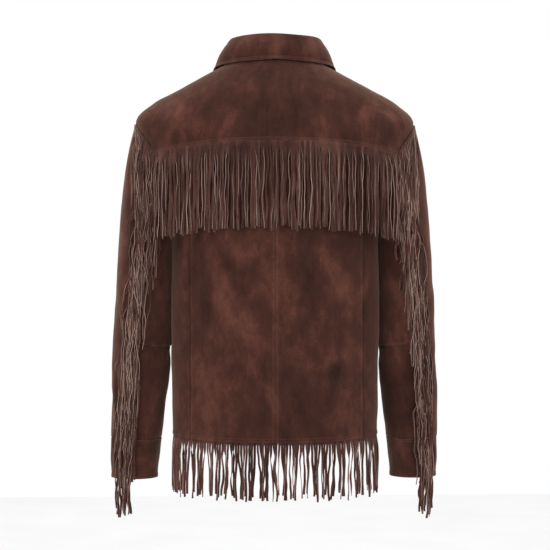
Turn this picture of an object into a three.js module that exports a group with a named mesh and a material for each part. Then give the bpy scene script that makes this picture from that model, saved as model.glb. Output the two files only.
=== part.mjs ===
// Fringed suede jacket, hollow as it is worn: yoke, collar, four back panels, two fronts, two-piece
// sleeves with an elbow seam and a cuff, and three runs of cut fringe (yoke, sleeves, back hem).
// Millimetres, +Z up. The front faces -Y and the wearer's left is +X. The origin is the middle of the
// neck opening, level with the points where the shoulder ridges meet the collar.
import * as THREE from "three";

// ---------------------------------------------------------------- driving dimensions
const SUEDE = 1.5; // wall of every panel
const SEAM = 0.3; // gap between two pieces sewn edge to edge
const ARMHOLE_SEAM = 0.6; // gap round the armhole, where the two walls meet at an angle
const COLLAR_WALL = 2.4; // two layers of suede
const FRINGE_WALL = 2.2; // a cut fringe's plain reach, one layer of strands
const SLEEVE_FRINGE_WALL = 3.6; // strands of a near-vertical seam hang over each other

const PANEL_SEAM_X = 153; // the side-back seams run straight down at this distance from the centre
const SHOULDER_SEAM = 112; // degrees round the neck: the yoke ends this far over the shoulder
const YOKE_FRINGE_REACH = 156;
const YOKE_FRINGE_SPREAD = 22; // how far its ends swing back, clear of the sleeves
const HEM_FRINGE_REACH = 104;
const PLACKET_WIDTH = 36;
const BUTTON_COUNT = 6;
const BUTTON_RADIUS = 8;
const BUTTON_HEIGHT = 3;
const BUTTON_Z = [-128, -618]; // the first and last button
const CLEARANCE = 0.4; // more room than a seam, under a piece that lies on another

// A table with named columns: each row becomes an object.
function table(columns, rows) {
  return rows.map((row) => Object.fromEntries(columns.map((name, i) => [name, row[i]])));
}

// Rings of the body from the neck seam to the hem. A ring runs round the body; its side, back and front
// points have their own heights, so the upper rings lie over the shoulders like a poncho.
const BODY = table(["ring", "halfWidth", "backY", "frontY", "sideZ", "backZ", "frontZ", "square"], [
  ["neck seam", 82, 66, -76, 0, 2, -72, 2.0],
  ["under collar", 122, 84, -96, -21, -28, -96, 2.05],
  ["mid shoulder", 175, 102, -110, -50, -66, -122, 2.15],
  ["shoulder bone", 223, 113, -118, -77, -108, -148, 2.25],
  ["armhole top", 254, 118, -122, -112, -134, -172, 2.35],
  ["yoke seam", 234, 120, -124, -175, -152, -198, 2.4],
  ["mid armhole", 214, 121, -126, -228, -218, -236, 2.45],
  ["underarm", 190.5, 120, -127, -285, -276, -282, 2.45],
  ["ribs", 188.2, 118, -126, -335, -332, -335, 2.42],
  ["waist", 188.8, 113, -122, -405, -406, -408, 2.4],
  ["hip", 188.8, 112, -119, -541, -544, -544, 2.4],
  ["hem", 187, 116, -119, -677, -684, -682, 2.4],
]);
const YOKE_RING = 5;
const HEM_RING = 11;

// The armhole is a closed curve round the body's side line, between two rings.
const ARMHOLE = { topRing: 4, bottomRing: 7, backAngle: 26, frontAngle: 28 };

// Rings of the sleeve, level, from the upper arm down. Turn angles run from the back (0) over the outside
// (90) and the front (180) to the inside (270). The last ring is only the reach of the fringe.
const SLEEVE = table(["ring", "z", "x", "y", "halfWidth", "halfDepth", "backSeam", "frontSeam"], [
  ["upper arm", -310, 237.2, 0, 46.5, 66, 12, 196],
  ["above elbow", -400, 239.7, -3, 49.2, 62, 20, 198],
  ["elbow", -506, 243, -8, 52.2, 57, 26, 200],
  ["below elbow", -575, 245, -13, 52.2, 54, 25, 200],
  ["forearm", -630, 249.6, -20, 49, 51, 22, 200],
  ["cuff seam", -687, 254, -27, 46.2, 48, 20, 200],
  ["wrist", -727, 256.6, -31, 43.9, 46.5, 20, 200],
  ["cuff edge", -759, 257.2, -34, 42, 45.5, 20, 200],
  ["fringe tips", -817, 257, -36, 41, 45, 20, 200],
]);
const SLEEVE_SQUARE = 2.15;
const SLEEVE_TOP_SLOPE = 0.3; // how far the sleeve head runs outwards for each unit down, at the armhole
const SLEEVE_TOP_LEAN = 0.1; // how far it leans away from the shoulder line there, back and front
const SLEEVE_ARRIVE = 0.2; // the sleeve head ends in the direction of the arm this far below its first ring
const ELBOW_RING = 3;
const ELBOW_DIP = 0.14; // how far the elbow seam sags towards the body, in rings
const CUFF_RING = 6;
const CUFF_EDGE_RING = 8;

// The sleeve fringe hangs from the top of the armhole and from the back seam. Its reach, by ring.
const SLEEVE_FRINGE = [
  { ring: 0.05, inner: 25, outer: 70 },
  { ring: 0.5, inner: -2, outer: 52 },
  { ring: 1, inner: -26, outer: 43 },
  { ring: 2, inner: -8, outer: 46 },
  { ring: 3, inner: 8, outer: 48 },
  { ring: 5, inner: 0, outer: 46 },
  { ring: 6, inner: -2, outer: 44 },
  { ring: 8, inner: 0, outer: 30 },
  { ring: 9, inner: 10, outer: 24 },
];

// The collar folds over at its top ring; the fall's outer edge lies on the yoke and fronts.
const COLLAR_FOLD = { halfWidth: 80, backY: 64, frontY: -74, sideZ: 39, backZ: 42, frontZ: -44, square: 2.2 };
const COLLAR_EDGE = [
  { fold: 0, angle: 0, ring: 0.2 },
  { fold: 45, angle: 42, ring: 0.36 },
  { fold: 90, angle: 86, ring: 0.64 },
  { fold: 130, angle: 124, ring: 1.05 },
  { fold: 168, angle: 156, ring: 1.6 },
];
const COLLAR_LIFT = 2.2; // clearance under the fall's edge
const COLLAR_ROLL = 5; // how far the fold rolls out past the stand
const COLLAR_BELLY = 4; // how far the fall bows out half way down
const COLLAR_TOP_GAPS = [5, 1.6, SEAM, SEAM]; // the stand stops short of the fold and of the neck seam

const YOKE_FRINGE_LIFT = 2; // clearance behind the yoke's fringe
const YOKE_FRINGE_TRIM = 1.5; // degrees that it stops short of the yoke's corner
const SLEEVE_FRINGE_LIFT = 2.5; // clearance under the sleeve's fringe

// Small steps, in degrees and in rings, for a surface's outward side.
const TURN_STEP = 0.4;
const RING_STEP = 0.01;
const SQUARE_CUT_LIMIT = 0.5; // least cosine between sleeve and body where their edges are cut alike
const BISECTIONS = 30;

// ---------------------------------------------------------------- curves and tables
const radians = THREE.MathUtils.degToRad;
const degrees = THREE.MathUtils.radToDeg;
const { clamp, lerp } = THREE.MathUtils;

// A smooth curve through evenly spaced values, read at a fractional index.
function smooth(values, index) {
  const last = values.length - 1;
  const i = clamp(Math.floor(index), 0, last - 1);
  const t = clamp(index, 0, last) - i;
  const at = (k) => values[clamp(k, 0, last)];
  const slopeAt = (k) => (at(k + 1) - at(k - 1)) / (k <= 0 || k >= last ? 1 : 2);
  const m0 = slopeAt(i);
  const m1 = slopeAt(i + 1);
  const h = t * t * (3 - 2 * t);
  return lerp(at(i), at(i + 1), h) + m0 * t * (1 - t) * (1 - t) - m1 * t * t * (1 - t);
}

// One column of a table of rings at a fractional ring number.
function column(table, name, index) {
  return smooth(table.map((row) => row[name]), index);
}

// One column of a table whose rows are unevenly spaced along another column, joined by straight runs.
function lookUp(table, key, name, at) {
  let i = 1;
  while (i < table.length - 1 && table[i][key] < at) i += 1;
  const t = clamp((at - table[i - 1][key]) / (table[i][key] - table[i - 1][key]), 0, 1);
  return lerp(table[i - 1][name], table[i][name], t);
}

// Sine with its corners squared off, for a section between an ellipse and a box.
function squared(value, square) {
  return Math.sign(value) * Math.abs(value) ** (2 / square);
}

// ---------------------------------------------------------------- the garment's surfaces
// A ring that tilts over the shoulders: angle 0 is the centre back, 90 the wearer's left side, 180 the front.
function tiltedRing(size, angle) {
  const sine = Math.sin(radians(angle));
  const cosine = Math.cos(radians(angle));
  const atBack = cosine > 0;
  const side = sine * sine;
  return new THREE.Vector3(
    size.halfWidth * squared(sine, size.square),
    (atBack ? size.backY : -size.frontY) * squared(cosine, size.square),
    lerp(atBack ? size.backZ : size.frontZ, size.sideZ, side),
  );
}

function bodyPoint(angle, ring) {
  const size = {};
  for (const name of ["halfWidth", "backY", "frontY", "sideZ", "backZ", "frontZ", "square"]) {
    size[name] = column(BODY, name, ring);
  }
  return tiltedRing(size, angle);
}

// The armhole's edge at a turn angle of the sleeve.
function armholePlace(turn) {
  const middle = (ARMHOLE.topRing + ARMHOLE.bottomRing) / 2;
  const half = (ARMHOLE.bottomRing - ARMHOLE.topRing) / 2;
  const cosine = Math.cos(radians(turn));
  const reach = cosine > 0 ? ARMHOLE.backAngle : ARMHOLE.frontAngle;
  return { angle: 90 - reach * cosine, ring: middle - half * Math.sin(radians(turn)) };
}

// The turn angle, on the back of the armhole, at which its edge crosses a ring.
function armholeTurn(ring) {
  const middle = (ARMHOLE.topRing + ARMHOLE.bottomRing) / 2;
  const half = (ARMHOLE.bottomRing - ARMHOLE.topRing) / 2;
  return degrees(Math.asin(clamp((middle - ring) / half, -1, 1)));
}

function levelRing(turn, index) {
  const at = (name) => column(SLEEVE, name, index);
  const sine = squared(Math.sin(radians(turn)), SLEEVE_SQUARE);
  const cosine = squared(Math.cos(radians(turn)), SLEEVE_SQUARE);
  return new THREE.Vector3(at("x") + at("halfWidth") * sine, at("y") + at("halfDepth") * cosine, at("z"));
}

// Ring 0 is the armhole, ring 1 the upper arm; the sleeve head between them leaves the shoulder outwards
// and bends down into the arm.
function sleevePoint(turn, ring) {
  if (ring >= 1) return levelRing(turn, ring - 1);
  const place = armholePlace(turn);
  const start = bodyPoint(place.angle, place.ring);
  const end = levelRing(turn, 0);
  const reach = start.distanceTo(end);
  const lean = SLEEVE_TOP_LEAN * Math.cos(radians(turn));
  const leave = new THREE.Vector3(SLEEVE_TOP_SLOPE, lean, -1).setLength(reach);
  const arrive = levelRing(turn, SLEEVE_ARRIVE).sub(end).setLength(reach);
  const t = ring;
  const s = 1 - t;
  return new THREE.Vector3()
    .addScaledVector(start, s * s * (1 + 2 * t))
    .addScaledVector(end, t * t * (3 - 2 * t))
    .addScaledVector(leave, t * s * s)
    .addScaledVector(arrive, -t * t * s);
}

// ---------------------------------------------------------------- closed walls on a surface
// A surface gives a point for a turn and a distance down. Its outward side, by small steps each way.
function outwardOf(surface, turn, down) {
  const along = surface(turn + TURN_STEP, down).sub(surface(turn - TURN_STEP, down));
  const below = surface(turn, down + RING_STEP).sub(surface(turn, down - RING_STEP));
  return new THREE.Vector3().crossVectors(along, below).normalize();
}

// places is a grid of [turn, down] on the surface. The wall lies behind the surface, thickness deep, or is
// moved out by lift. Each border moves in by half its gap: first row, last row, first and last column.
// firstOutward, if given, turns the first row's cut edge to lie square to its neighbour.
function wall(surface, places, thickness, { lift = 0, gaps = [SEAM, SEAM, SEAM, SEAM], firstOutward } = {}) {
  const lastRow = places.length - 1;
  const lastColumn = places[0].length - 1;
  const points = places.map((row) => row.map(([turn, down]) => surface(turn, down)));
  const at = (r, c) => points[clamp(r, 0, lastRow)][clamp(c, 0, lastColumn)];
  const outside = [];
  const inside = [];
  for (let r = 0; r <= lastRow; r += 1) {
    for (let c = 0; c <= lastColumn; c += 1) {
      const [turn, down] = places[r][c];
      const normal = outwardOf(surface, turn, down);
      const point = at(r, c).clone();
      const along = at(r, c + 1).clone().sub(at(r, c - 1)).normalize();
      const below = at(r + 1, c).clone().sub(at(r - 1, c)).normalize();
      const inward = (a, b) => new THREE.Vector3().crossVectors(a, b).normalize();
      if (r === 0) point.addScaledVector(inward(normal, along), gaps[0] / 2);
      if (r === lastRow) point.addScaledVector(inward(along, normal), gaps[1] / 2);
      if (c === 0) point.addScaledVector(inward(below, normal), gaps[2] / 2);
      if (c === lastColumn) point.addScaledVector(inward(normal, below), gaps[3] / 2);
      const depth = r === 0 && firstOutward ? firstOutward(turn, normal) : normal;
      outside.push(point.clone().addScaledVector(depth, lift));
      inside.push(point.clone().addScaledVector(depth, lift - thickness));
    }
  }
  const behind = outside.length;
  const id = (r, c) => r * (lastColumn + 1) + c;
  const faces = [];
  const quad = (a, b, c, d) => faces.push(a, b, c, a, c, d);
  const border = (a, b) => quad(b, a, a + behind, b + behind);
  for (let r = 0; r < lastRow; r += 1) {
    for (let c = 0; c < lastColumn; c += 1) {
      const corners = [id(r, c), id(r + 1, c), id(r + 1, c + 1), id(r, c + 1)];
      quad(...corners.toReversed());
      quad(...corners.map((k) => k + behind));
    }
    border(id(r + 1, 0), id(r, 0));
    border(id(r, lastColumn), id(r + 1, lastColumn));
  }
  for (let c = 0; c < lastColumn; c += 1) {
    border(id(0, c), id(0, c + 1));
    border(id(lastRow, c + 1), id(lastRow, c));
  }
  const corners = [...outside, ...inside].flatMap((p) => p.toArray());
  const geometry = new THREE.BufferGeometry();
  geometry.setAttribute("position", new THREE.Float32BufferAttribute(corners, 3));
  geometry.setIndex(faces);
  geometry.computeVertexNormals();
  return geometry;
}

// A grid of places: one row for each value of down, each row running over every value of across.
function grid(down, across, place) {
  return down.map((d) => across.map((a) => place(d, a)));
}

function steps(count, from = 0, to = 1) {
  return Array.from({ length: count + 1 }, (_, i) => lerp(from, to, i / count));
}

// ---------------------------------------------------------------- materials
const suede = new THREE.MeshStandardMaterial({ color: 0x55332a, roughness: 0.95, metalness: 0 });
const fringeSuede = new THREE.MeshStandardMaterial({ color: 0x5e3b32, roughness: 0.95, metalness: 0 });
const horn = new THREE.MeshStandardMaterial({ color: 0x2c1a14, roughness: 0.45, metalness: 0 });

// ---------------------------------------------------------------- where the panels end
const CORNER_TURN = armholeTurn(YOKE_RING);
const CORNER_ANGLE = armholePlace(CORNER_TURN).angle;
const FRONT_CORNER_TURN = 180 - degrees(Math.acos((SHOULDER_SEAM - 90) / ARMHOLE.frontAngle));

// Turns round the armhole: along the yoke's end, down the front, and up the side of the back.
const YOKE_TURNS = steps(6, CORNER_TURN, FRONT_CORNER_TURN);
const FRONT_TURNS = steps(8, FRONT_CORNER_TURN, 270);
const BACK_TURNS = steps(7, 270, CORNER_TURN + 360);
const FRONT_SEAM_STEP = 3; // the sleeve's front seam meets the armhole at this step of FRONT_TURNS

const SHOULDER_SHARES = steps(7);
const LOWER_RINGS = steps(8, ARMHOLE.bottomRing, HEM_RING).slice(1);
const BACK_RINGS = [...BACK_TURNS.toReversed().map((turn) => armholePlace(turn).ring), ...LOWER_RINGS];
const FRONT_RINGS = [
  ...SHOULDER_SHARES.slice(0, -1).map((share) => share * armholePlace(FRONT_CORNER_TURN).ring),
  ...FRONT_TURNS.map((turn) => armholePlace(turn).ring),
  ...LOWER_RINGS,
];
const CENTRE_SHARES = steps(4);
const SIDE_SHARES = steps(3);

// The angle of a point of the body at a ring, so that it lies across from the centre.
function angleAt(across, ring) {
  const square = column(BODY, "square", ring);
  return degrees(Math.asin((across / column(BODY, "halfWidth", ring)) ** (square / 2)));
}

// The outer edge of the back, and of a front, on a ring: the side seam, the armhole or the yoke.
function backEdgeAngle(ring) {
  return ring >= ARMHOLE.bottomRing ? 90 : armholePlace(armholeTurn(ring)).angle;
}

function frontEdgeAngle(ring) {
  if (ring >= ARMHOLE.bottomRing) return 90;
  if (ring <= armholePlace(FRONT_CORNER_TURN).ring) return SHOULDER_SEAM;
  return armholePlace(180 - armholeTurn(ring)).angle;
}

// The angles of the back panels' points along a ring, from the centre to the outer edge.
function backAngles(ring, edge) {
  const seam = angleAt(PANEL_SEAM_X, ring);
  const side = SIDE_SHARES.slice(1).map((share) => lerp(seam, edge, share));
  return [...CENTRE_SHARES.map((share) => share * seam), ...side];
}

function mirrored(list) {
  return [...list.toReversed().slice(0, -1).map((value) => -value), ...list];
}

// ---------------------------------------------------------------- pieces
const jacket = new THREE.Group();

function add(name, geometry, material, mirror = false) {
  const mesh = new THREE.Mesh(geometry, material);
  mesh.name = name;
  if (mirror) mesh.scale.x = -1;
  jacket.add(mesh);
  return mesh;
}

// The same piece for the wearer's left and, mirrored, right.
function addPair(name, geometry, material) {
  add(`${name}_left`, geometry, material);
  add(`${name}_right`, geometry, material, true);
}

function makeYoke() {
  const back = backAngles(YOKE_RING, CORNER_ANGLE).map((angle) => [angle, YOKE_RING]);
  const end = YOKE_TURNS.slice(1).map((turn) => {
    const place = armholePlace(turn);
    return [place.angle, place.ring];
  });
  const half = [...back, ...end];
  const edge = [...half.toReversed().slice(0, -1).map(([angle, ring]) => [-angle, ring]), ...half];
  const places = grid(SHOULDER_SHARES, edge, (share, [angle, ring]) => [angle, share * ring]);
  add("yoke", wall(bodyPoint, places, SUEDE), suede);
}

function makeBackPanels() {
  const centre = grid(BACK_RINGS, CENTRE_SHARES, (ring, share) => [share * angleAt(PANEL_SEAM_X, ring), ring]);
  addPair("back_centre", wall(bodyPoint, centre, SUEDE), suede);
  const side = grid(BACK_RINGS, SIDE_SHARES, (ring, share) => [
    lerp(angleAt(PANEL_SEAM_X, ring), backEdgeAngle(ring), share),
    ring,
  ]);
  addPair("back_side", wall(bodyPoint, side, SUEDE), suede);
}

function makeFronts() {
  const places = grid(FRONT_RINGS, steps(6), (ring, share) => [lerp(frontEdgeAngle(ring), 180, share), ring]);
  addPair("front", wall(bodyPoint, places, SUEDE), suede);
}

// The placket is a strip over the fronts' meeting edges, made from their points and moved out.
const PLACKET_LIFT = SUEDE + SEAM + CLEARANCE;

function makePlacket() {
  const places = grid(FRONT_RINGS, [-1, 0, 1], (ring, side) => [
    180 + side * angleAt(PLACKET_WIDTH / 2, ring),
    ring,
  ]);
  add("placket", wall(bodyPoint, places, SUEDE, { lift: PLACKET_LIFT }), suede);
}

// The ring at which the centre front has fallen to a height.
function frontRing(z) {
  let above = 0;
  let below = HEM_RING;
  for (let i = 0; i < BISECTIONS; i += 1) {
    const middle = (above + below) / 2;
    if (bodyPoint(180, middle).z > z) above = middle;
    else below = middle;
  }
  return above;
}

function makeButtons() {
  const profile = [
    [0, 0],
    [BUTTON_RADIUS, 0],
    [BUTTON_RADIUS, BUTTON_HEIGHT * 0.6],
    [BUTTON_RADIUS * 0.8, BUTTON_HEIGHT],
    [0, BUTTON_HEIGHT],
  ].map(([r, h]) => new THREE.Vector2(r, h));
  const shape = new THREE.LatheGeometry(profile, 12);
  steps(BUTTON_COUNT - 1, ...BUTTON_Z).forEach((z, i) => {
    const ring = frontRing(z);
    const outward = outwardOf(bodyPoint, 180, ring);
    const button = add(`button_${i + 1}`, shape, horn);
    button.position.copy(bodyPoint(180, ring)).addScaledVector(outward, PLACKET_LIFT + SEAM + CLEARANCE);
    button.quaternion.setFromUnitVectors(new THREE.Vector3(0, 1, 0), outward);
  });
}

// Shares of the way round the top sleeve and the under sleeve, so that the armhole's points are shared.
function sharesOf(turns) {
  return turns.map((turn) => (turn - turns[0]) / (turns.at(-1) - turns[0]));
}

const TOP_TURNS = [...YOKE_TURNS, ...FRONT_TURNS.slice(1, FRONT_SEAM_STEP + 1)];
const UNDER_TURNS = [...FRONT_TURNS.slice(FRONT_SEAM_STEP), ...BACK_TURNS.slice(1)];

function seamTurn(name, ring) {
  const atArmhole = name === "backSeam" ? CORNER_TURN : TOP_TURNS.at(-1);
  return ring >= 1 ? column(SLEEVE, name, ring - 1) : lerp(atArmhole, SLEEVE[0][name], ring);
}

function topPlace(ring, share) {
  return [lerp(seamTurn("backSeam", ring), seamTurn("frontSeam", ring), share), ring];
}

function underPlace(ring, share) {
  const dip = ring === ELBOW_RING ? ELBOW_DIP * Math.sin(Math.PI * share) : 0;
  return [lerp(seamTurn("frontSeam", ring), seamTurn("backSeam", ring) + 360, share), ring + dip];
}

function makeSleeve() {
  const above = [...steps(5), 1.5, 2, 2.5, ELBOW_RING];
  const below = [ELBOW_RING, 3.7, 4.4, 5.2, CUFF_RING];
  const head = {
    gaps: [ARMHOLE_SEAM, SEAM, SEAM, SEAM],
    // Where the sleeve carries on from the body, its edge is cut square to the body's wall.
    firstOutward: (turn, normal) => {
      const place = armholePlace(turn);
      const body = outwardOf(bodyPoint, place.angle, place.ring);
      return body.dot(normal) > SQUARE_CUT_LIMIT ? body : normal;
    },
  };
  const topShares = sharesOf(TOP_TURNS);
  const underShares = sharesOf(UNDER_TURNS);
  const top = grid([...above, ...below.slice(1)], topShares, topPlace);
  addPair("sleeve_top", wall(sleevePoint, top, SUEDE, head), suede);
  addPair("sleeve_under_upper", wall(sleevePoint, grid(above, underShares, underPlace), SUEDE, head), suede);
  addPair("sleeve_under_lower", wall(sleevePoint, grid(below, underShares, underPlace), SUEDE), suede);
  const cuff = [CUFF_RING, 7, CUFF_EDGE_RING].map((ring) => [
    ...topShares.map((share) => topPlace(ring, share)),
    ...underShares.slice(1).map((share) => underPlace(ring, share)),
  ]);
  addPair("cuff", wall(sleevePoint, cuff, SUEDE), suede);
}

// The collar: the stand rises from the neck seam to the fold, and the fall rolls over it onto the yoke.
function foldPoint(angle) {
  return tiltedRing(COLLAR_FOLD, angle);
}

function standPoint(angle, down) {
  return foldPoint(angle).lerp(bodyPoint(angle, 0), down);
}

function fallEdge(angle) {
  const at = (name) => lookUp(COLLAR_EDGE, "fold", name, Math.abs(angle));
  const turn = Math.sign(angle) * at("angle");
  const outward = outwardOf(bodyPoint, turn, at("ring"));
  return bodyPoint(turn, at("ring")).addScaledVector(outward, COLLAR_WALL + COLLAR_LIFT);
}

function fallPoint(angle, down) {
  const fold = foldPoint(angle);
  const outward = new THREE.Vector3(fold.x, fold.y, 0).normalize();
  const top = fold.clone().setZ(fold.z + COLLAR_WALL + 1);
  const roll = fold.clone().addScaledVector(outward, COLLAR_ROLL);
  const edge = fallEdge(angle);
  const middle = roll.clone().lerp(edge, 0.5).addScaledVector(outward, COLLAR_BELLY);
  const curve = [top, roll, middle, edge];
  const at = (axis) => smooth(curve.map((point) => point[axis]), down);
  return new THREE.Vector3(at("x"), at("y"), at("z"));
}

function makeCollar() {
  const end = COLLAR_EDGE.at(-1).fold;
  const angles = steps(24, -end, end);
  const turnDown = (down, angle) => [angle, down];
  const stand = wall(standPoint, grid([0, 0.5, 1], angles, turnDown), COLLAR_WALL, { gaps: COLLAR_TOP_GAPS });
  add("collar_stand", stand, suede);
  add("collar_fall", wall(fallPoint, grid([0, 0.5, 1, 1.5, 2, 3], angles, turnDown), COLLAR_WALL), suede);
}

// ---------------------------------------------------------------- fringe
function yokeFringePoint(angle, down) {
  const point = bodyPoint(angle, YOKE_RING + 0.02);
  const out = Math.abs(angle) / CORNER_ANGLE;
  point.z -= YOKE_FRINGE_REACH * down;
  point.y += (1 - (1 - clamp(down, 0, 1)) ** 2) * YOKE_FRINGE_SPREAD * out ** 3;
  return point;
}

function makeYokeFringe() {
  const angles = mirrored(backAngles(YOKE_RING, CORNER_ANGLE - YOKE_FRINGE_TRIM));
  const places = grid(steps(4), angles, (down, angle) => [angle, down]);
  const lift = FRINGE_WALL + YOKE_FRINGE_LIFT;
  add("yoke_fringe", wall(yokeFringePoint, places, FRINGE_WALL, { lift }), fringeSuede);
}

function makeSleeveFringe() {
  const rings = [0.05, 0.3, 0.6, 1, 1.5, 2, 2.5, 3, 3.7, 4.4, 5.2, 6, 7, 8, 9];
  const places = grid(rings, steps(3), (ring, share) => {
    const at = (name) => lookUp(SLEEVE_FRINGE, "ring", name, ring);
    return [lerp(at("inner"), at("outer"), share), ring];
  });
  const lift = SLEEVE_FRINGE_WALL + SLEEVE_FRINGE_LIFT;
  addPair("sleeve_fringe", wall(sleevePoint, places, SLEEVE_FRINGE_WALL, { lift }), fringeSuede);
}

function hemFringePoint(angle, down) {
  const point = bodyPoint(angle, HEM_RING);
  point.z -= SEAM + HEM_FRINGE_REACH * down;
  return point;
}

function makeHemFringe() {
  const places = grid(steps(2), mirrored(backAngles(HEM_RING, 90)), (down, angle) => [angle, down]);
  add("hem_fringe", wall(hemFringePoint, places, FRINGE_WALL), fringeSuede);
}

makeYoke();
makeBackPanels();
makeFronts();
makePlacket();
makeButtons();
makeSleeve();
makeCollar();
makeYokeFringe();
makeSleeveFringe();
makeHemFringe();

export default jacket;
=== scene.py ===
"""Fringed suede jacket, as it is worn: shells of napped suede on the frame's solids, with soft creases,
topstitching, a button front, and long fringe cut into strands on the yoke, the sleeves and the back hem."""

import math

import bpy
import numpy as np
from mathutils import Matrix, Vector


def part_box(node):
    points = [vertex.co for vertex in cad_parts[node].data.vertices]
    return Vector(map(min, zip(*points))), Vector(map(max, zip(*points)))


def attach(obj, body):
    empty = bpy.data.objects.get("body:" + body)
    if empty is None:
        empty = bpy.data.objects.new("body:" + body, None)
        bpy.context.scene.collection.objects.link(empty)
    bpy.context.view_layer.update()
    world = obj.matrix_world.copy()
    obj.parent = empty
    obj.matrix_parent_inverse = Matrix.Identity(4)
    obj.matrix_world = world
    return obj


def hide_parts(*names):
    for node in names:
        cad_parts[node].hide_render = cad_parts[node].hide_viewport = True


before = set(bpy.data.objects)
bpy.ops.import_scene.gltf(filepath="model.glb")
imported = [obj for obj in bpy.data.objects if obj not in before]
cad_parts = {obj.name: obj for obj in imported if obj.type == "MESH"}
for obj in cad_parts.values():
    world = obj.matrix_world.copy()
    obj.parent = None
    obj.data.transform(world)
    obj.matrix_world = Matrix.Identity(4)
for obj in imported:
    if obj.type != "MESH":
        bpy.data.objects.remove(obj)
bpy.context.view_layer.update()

# ---------------------------------------------------------------- sizes, in millimetres
MM = 0.001
GRID = 4.0  # spacing of a shell's points
EDGE_MARKS = (0, 1.1, 2.4, 4.0, 5.6, 7.2, 9.2, 12.0)  # closer points beside a seam
WALL = 1.4  # suede
SEAM = 0.1
BUTT = -0.9  # the gap of two edges pressed together
RIM = 0.35  # how round a cut edge is
COLLAR_WALL = 2.4
COLLAR_LIFT = 2.2
COLLAR_ROLL = 5.0
COLLAR_BELLY = 4.0
PANEL_SEAM_X = 153.0
SHOULDER_SEAM = 112.0
PLACKET_WIDTH = 36.0
PLACKET_LIFT = 2.2
ELBOW_DIP = 0.14
SLEEVE_TOP_SLOPE = 0.3
SLEEVE_SQUARE = 2.15

STRAND_WIDTH = 4.3
STRAND_THICK = 1.15
STRAND_PITCH = 4.75
HEADER = 8.0  # the fringe's uncut strip

# Topstitching: how far each line runs from its edge.
YOKE_STITCH = 6.5
SHOULDER_STITCH = 5.0
SIDE_STITCH = 6.0
CENTRE_STITCH = 9.0
HEM_STITCH = 7.0
PLACKET_STITCH = 5.0
CUFF_EDGE_STITCH = 7.5
CUFF_SEAM_STITCH = 5.0
COLLAR_STITCH = 6.0

# The studio, in metres and degrees. The camera looks at the jacket's back, level.
CAMERA_DISTANCE = 3.0
CAMERA_HEIGHT = -0.388
CAMERA_SWING = 2.6  # degrees round the jacket, towards the wearer's left
CAMERA_SENSOR = 36
CAMERA_LENS = 107.3
LAMPS = {  # place, size, power
    "key": ((2.2, 2.6, 1.6), 1.6, 60),
    "fill": ((-2.6, 2.2, 0.6), 2.0, 22),
    "top": ((0.0, 0.6, 2.4), 2.0, 26),
}
LAMP_AIM = (0, 0, -0.35)
FLOOR_HALF = 6.0
FLOOR_LEVEL = -1.6

# The form of the body: rings from the neck seam to the hem.
BODY_COLUMNS = ("half_width", "back_y", "front_y", "side_z", "back_z", "front_z", "square")
BODY = {
    "neck seam": (82, 66, -76, 0, 2, -72, 2.0),
    "under collar": (122, 84, -96, -21, -28, -96, 2.05),
    "mid shoulder": (175, 102, -110, -50, -66, -122, 2.15),
    "shoulder bone": (223, 113, -118, -77, -108, -148, 2.25),
    "armhole top": (254, 118, -122, -112, -134, -172, 2.35),
    "yoke seam": (234, 120, -124, -175, -152, -198, 2.4),
    "mid armhole": (214, 121, -126, -228, -218, -236, 2.45),
    "underarm": (190.5, 120, -127, -285, -276, -282, 2.45),
    "ribs": (188.2, 118, -126, -335, -332, -335, 2.42),
    "waist": (188.8, 113, -122, -405, -406, -408, 2.4),
    "hip": (188.8, 112, -119, -541, -544, -544, 2.4),
    "hem": (187, 116, -119, -677, -684, -682, 2.4),
}
YOKE_RING = 5
ARMHOLE_TOP, ARMHOLE_BOTTOM = 4, 7
HEM_RING = 11
ARMHOLE_BACK, ARMHOLE_FRONT = 26.0, 28.0  # degrees round the body, either side of the shoulder line

# The form of a sleeve: level rings from the upper arm down.
SLEEVE_COLUMNS = ("z", "x", "y", "half_width", "half_depth", "back_seam", "front_seam")
SLEEVE = {
    "upper arm": (-310, 237.2, 0, 46.5, 66, 12, 196),
    "above elbow": (-400, 239.7, -3, 49.2, 62, 20, 198),
    "elbow": (-506, 243, -8, 52.2, 57, 26, 200),
    "below elbow": (-575, 245, -13, 52.2, 54, 25, 200),
    "forearm": (-630, 249.6, -20, 49, 51, 22, 200),
    "cuff seam": (-687, 254, -27, 46.2, 48, 20, 200),
    "wrist": (-727, 256.6, -31, 43.9, 46.5, 20, 200),
    "cuff edge": (-759, 257.2, -34, 42, 45.5, 20, 200),
    "fringe tips": (-817, 257, -36, 41, 45, 20, 200),
}
ELBOW_RING, CUFF_RING, CUFF_EDGE_RING = 3, 6, 8

COLLAR_FOLD = {
    "half_width": 80, "back_y": 64, "front_y": -74, "side_z": 39, "back_z": 42, "front_z": -44, "square": 2.2,
}
COLLAR_EDGE_FOLD = (0, 45, 90, 130, 168)  # degrees round the fold
COLLAR_EDGE_ANGLE = (0, 42, 86, 124, 156)  # where the fall's edge lies there, in degrees round the neck
COLLAR_EDGE_RING = (0.2, 0.36, 0.64, 1.05, 1.6)  # and on which ring of the body


# ---------------------------------------------------------------- curves
def smooth(values, index):
    """A smooth curve through evenly spaced values, read at fractional places."""
    values = np.asarray(values, float)
    last = len(values) - 1
    index = np.clip(index, 0, last)
    i = np.clip(np.floor(index).astype(int), 0, last - 1)
    t = index - i
    slope = np.gradient(values)
    h = t * t * (3 - 2 * t)
    leave, arrive = slope[i] * t * (1 - t) ** 2, slope[i + 1] * t * t * (1 - t)
    return values[i] * (1 - h) + values[i + 1] * h + leave - arrive


def columns_at(table, names, index):
    rows = np.array(list(table.values()), float)
    return {name: smooth(rows[:, k], index) for k, name in enumerate(names)}


def squared(value, square):
    return np.sign(value) * np.abs(value) ** (2 / square)


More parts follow.
